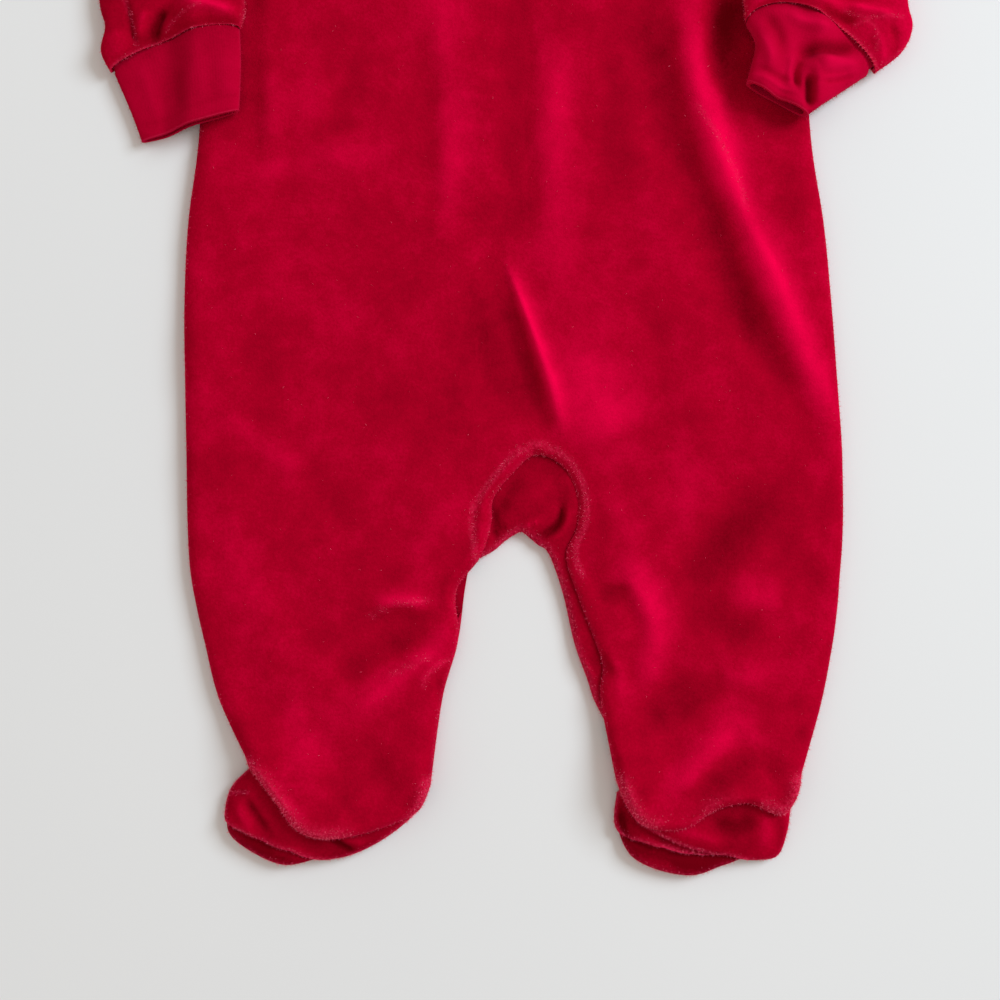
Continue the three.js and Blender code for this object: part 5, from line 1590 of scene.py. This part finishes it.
clothes = [front, gusset, *sleeves.values(), *soles.values(), *uppers.values(), *cuffs.values()]
piles = {cloth.name: pile_of(cloth) for cloth in clothes}

# %% [markdown]
# The rib cuffs are sewn on by an overlock machine. Where the right cuff pulls on its seam, the thread
# shows as short slanted stitches. A second tree walks that part of the seam and lays one at every step.

# %% Stitches of the right cuff's seam
STITCH_STEP = 1.5 * MM
STITCH_LENGTH = 1.5 * MM
STITCH_THICKNESS = 0.26 * MM
STITCHES_SEEN = (2, 24)


def thread_material():
    material, tree, where = new_material("Thread")
    twist = noise(tree, where, 3000.0, 1.0, 0.5)
    colour = blend(tree, twist, (0.66, 0.006, 0.04), (0.86, 0.02, 0.09))
    return surfaced(material, {"Base Color": colour}, {"Roughness": 0.7})


THREAD = thread_material()


def stitch_tree():
    tree, given = new_tree("Stitches", ["Step", "Length", "Thickness"])
    line = node(tree, "GeometryNodeMeshToCurve", None, {"Mesh": given["Cloth"]})
    steps = node(tree, "GeometryNodeResampleCurve", {"mode": "LENGTH"}, {
        "Curve": line, "Length": given["Step"],
    })
    tangent = node(tree, "GeometryNodeInputTangent")
    ahead = node(tree, "FunctionNodeAlignRotationToVector", {"axis": "Y"}, {"Vector": tangent})
    slant = node(tree, "FunctionNodeEulerToRotation", None, {0: (0.0, 0.0, math.radians(66))})
    turned = node(tree, "FunctionNodeRotateRotation", {"rotation_space": "LOCAL"}, {0: ahead, 1: slant})
    bead = node(tree, "GeometryNodeMeshUVSphere", None, {"Segments": 8, "Rings": 6, "Radius": 0.5})
    size = node(tree, "ShaderNodeCombineXYZ", None, {
        0: given["Thickness"], 1: given["Length"], 2: given["Thickness"],
    })
    instances = node(tree, "GeometryNodeInstanceOnPoints", None, {
        "Points": steps, "Instance": bead, "Rotation": turned, "Scale": size,
    })
    return end_tree(tree, instances, THREAD)


def seam_line(side, start, end):
    """Part of the upper edge where the cuff leaves the sleeve, as a mesh of edges."""
    points = sleeve_ends[side][start:end]
    mesh = bpy.data.meshes.new("seam_" + side)
    mesh.from_pydata(to_frame(points), [(k, k + 1) for k in range(len(points) - 1)], [])
    return mesh


stitches = grow(seam_line("right", *STITCHES_SEEN), stitch_tree(), "cuff_right_stitches", {
    "Step": STITCH_STEP, "Length": STITCH_LENGTH, "Thickness": STITCH_THICKNESS,
})

# %% [markdown]
# Each dressed piece stands for its plain solid and rides on the garment's one body. For each cloth
# piece the size that it was cut to is printed with its area: cloth bends but hardly stretches. A
# sleeve's and a cuff's cut goes all round the arm.

# %% What stands for what


def dress(piece, node_name):
    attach(piece, "root")
    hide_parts(node_name)


dress(front, "front")
dress(gusset, "gusset")
dress(neckband, "neckband")
dress(piles[front.name], "front")
dress(piles[gusset.name], "gusset")
for side in ("left", "right"):
    dress(backs[side], "back_" + side)
    dress(sleeves[side], "sleeve_" + side)
    dress(cuffs[side], "cuff_" + side)
    dress(soles[side], "sole_" + side)
    dress(uppers[side], "foot_upper_" + side)
    dress(piles[sleeves[side].name], "sleeve_" + side)
    dress(piles[cuffs[side].name], "cuff_" + side)
    dress(piles[soles[side].name], "sole_" + side)
    dress(piles[uppers[side].name], "foot_upper_" + side)
dress(stitches, "cuff_right")
for k, stud in enumerate(studs):
    dress(stud, "snap_%d" % (k + 1))

# %% Sheets
CUTS = {
    "front": (272, 512), "back_left": (144, 490), "back_right": (144, 490), "gusset": (53, 102),
    "sleeve_left": (224, 168), "sleeve_right": (224, 168), "cuff_left": (112, 38), "cuff_right": (112, 38),
    "sole_left": (84, 42), "sole_right": (84, 42), "upper_left": (76, 36), "upper_right": (76, 36),
    "neckband": (226, 13),
}


def cloth_area(piece):
    """Area of one side of a closed wall, in square metres."""
    return sum(face.area for face in piece.data.polygons) / 2


def declare(piece):
    width, length = CUTS[piece.name.rsplit("_", 1)[0]]
    flat = (width * MM, length * MM)
    area = min(cloth_area(piece), flat[0] * flat[1])
    print(piece.name, "cut", flat, "m, area", round(area * 1e4), "cm2")


for side in ("left", "right"):
    declare(backs[side])
    declare(soles[side])
    declare(uppers[side])
    declare(sleeves[side])
    declare(cuffs[side])
declare(front)
declare(gusset)
declare(neckband)

# %% [markdown]
# The picture was taken straight down with a soft window to the upper right, so the shadows fall
# softly to the left. The floor is a plain pale board.

# %% Floor
FLOOR_SIZE = 3.0


def floor_piece():
    mesh = bpy.data.meshes.new("floor")
    half = FLOOR_SIZE / 2
    corners = [(-half, -half, 0), (half, -half, 0), (half, half, 0), (-half, half, 0)]
    mesh.from_pydata(corners, [], [(0, 1, 2, 3)])
    material, tree, where = new_material("Pale board")
    cloud = noise(tree, where, 2.2, 3.0, 0.5)
    colour = blend(tree, cloud, (0.745, 0.755, 0.755), (0.80, 0.80, 0.79))
    mesh.materials.append(surfaced(material, {"Base Color": colour}, {"Roughness": 0.6}))
    return linked("floor", mesh)


floor = floor_piece()
print("floor laid")

# %% [markdown]
# One large soft light stands for the window, and a faint warm world fills the shadows. The camera looks
# straight down from where it takes in the same 40 cm as the photograph.

# %% Light and camera
PICTURE_WIDTH = 0.400
PICTURE_CENTRE = to_frame([-6, 14, 8])
LENS, SENSOR = 50, 36


def area_light(name, place, target, size, power, colour):
    data = bpy.data.lights.new(name, "AREA")
    data.shape, data.size, data.energy, data.color = "SQUARE", size, power, colour
    light = linked(name, data)
    light.location = place
    way = np.array(target) - np.array(place)
    light.rotation_euler = Vector(way).to_track_quat("-Z", "Y").to_euler()


area_light("window", (2.1, 1.1, 1.7), (0, -0.05, 0), 1.3, 68, (0.90, 1.02, 1.13))
world = bpy.context.scene.world or bpy.data.worlds.new("World")
bpy.context.scene.world = world
world.use_nodes = True
world.node_tree.nodes["Background"].inputs[0].default_value = (1.0, 0.92, 0.85, 1)
world.node_tree.nodes["Background"].inputs[1].default_value = 0.60
bpy.context.scene.view_settings.view_transform = "Standard"

camera_data = bpy.data.cameras.new("above")
camera_data.lens, camera_data.sensor_width = LENS, SENSOR
camera = linked("above", camera_data)
camera.location = PICTURE_CENTRE + np.array([0, 0, PICTURE_WIDTH * LENS / SENSOR])
bpy.context.scene.camera = camera
print("camera", np.round(camera.location, 3))
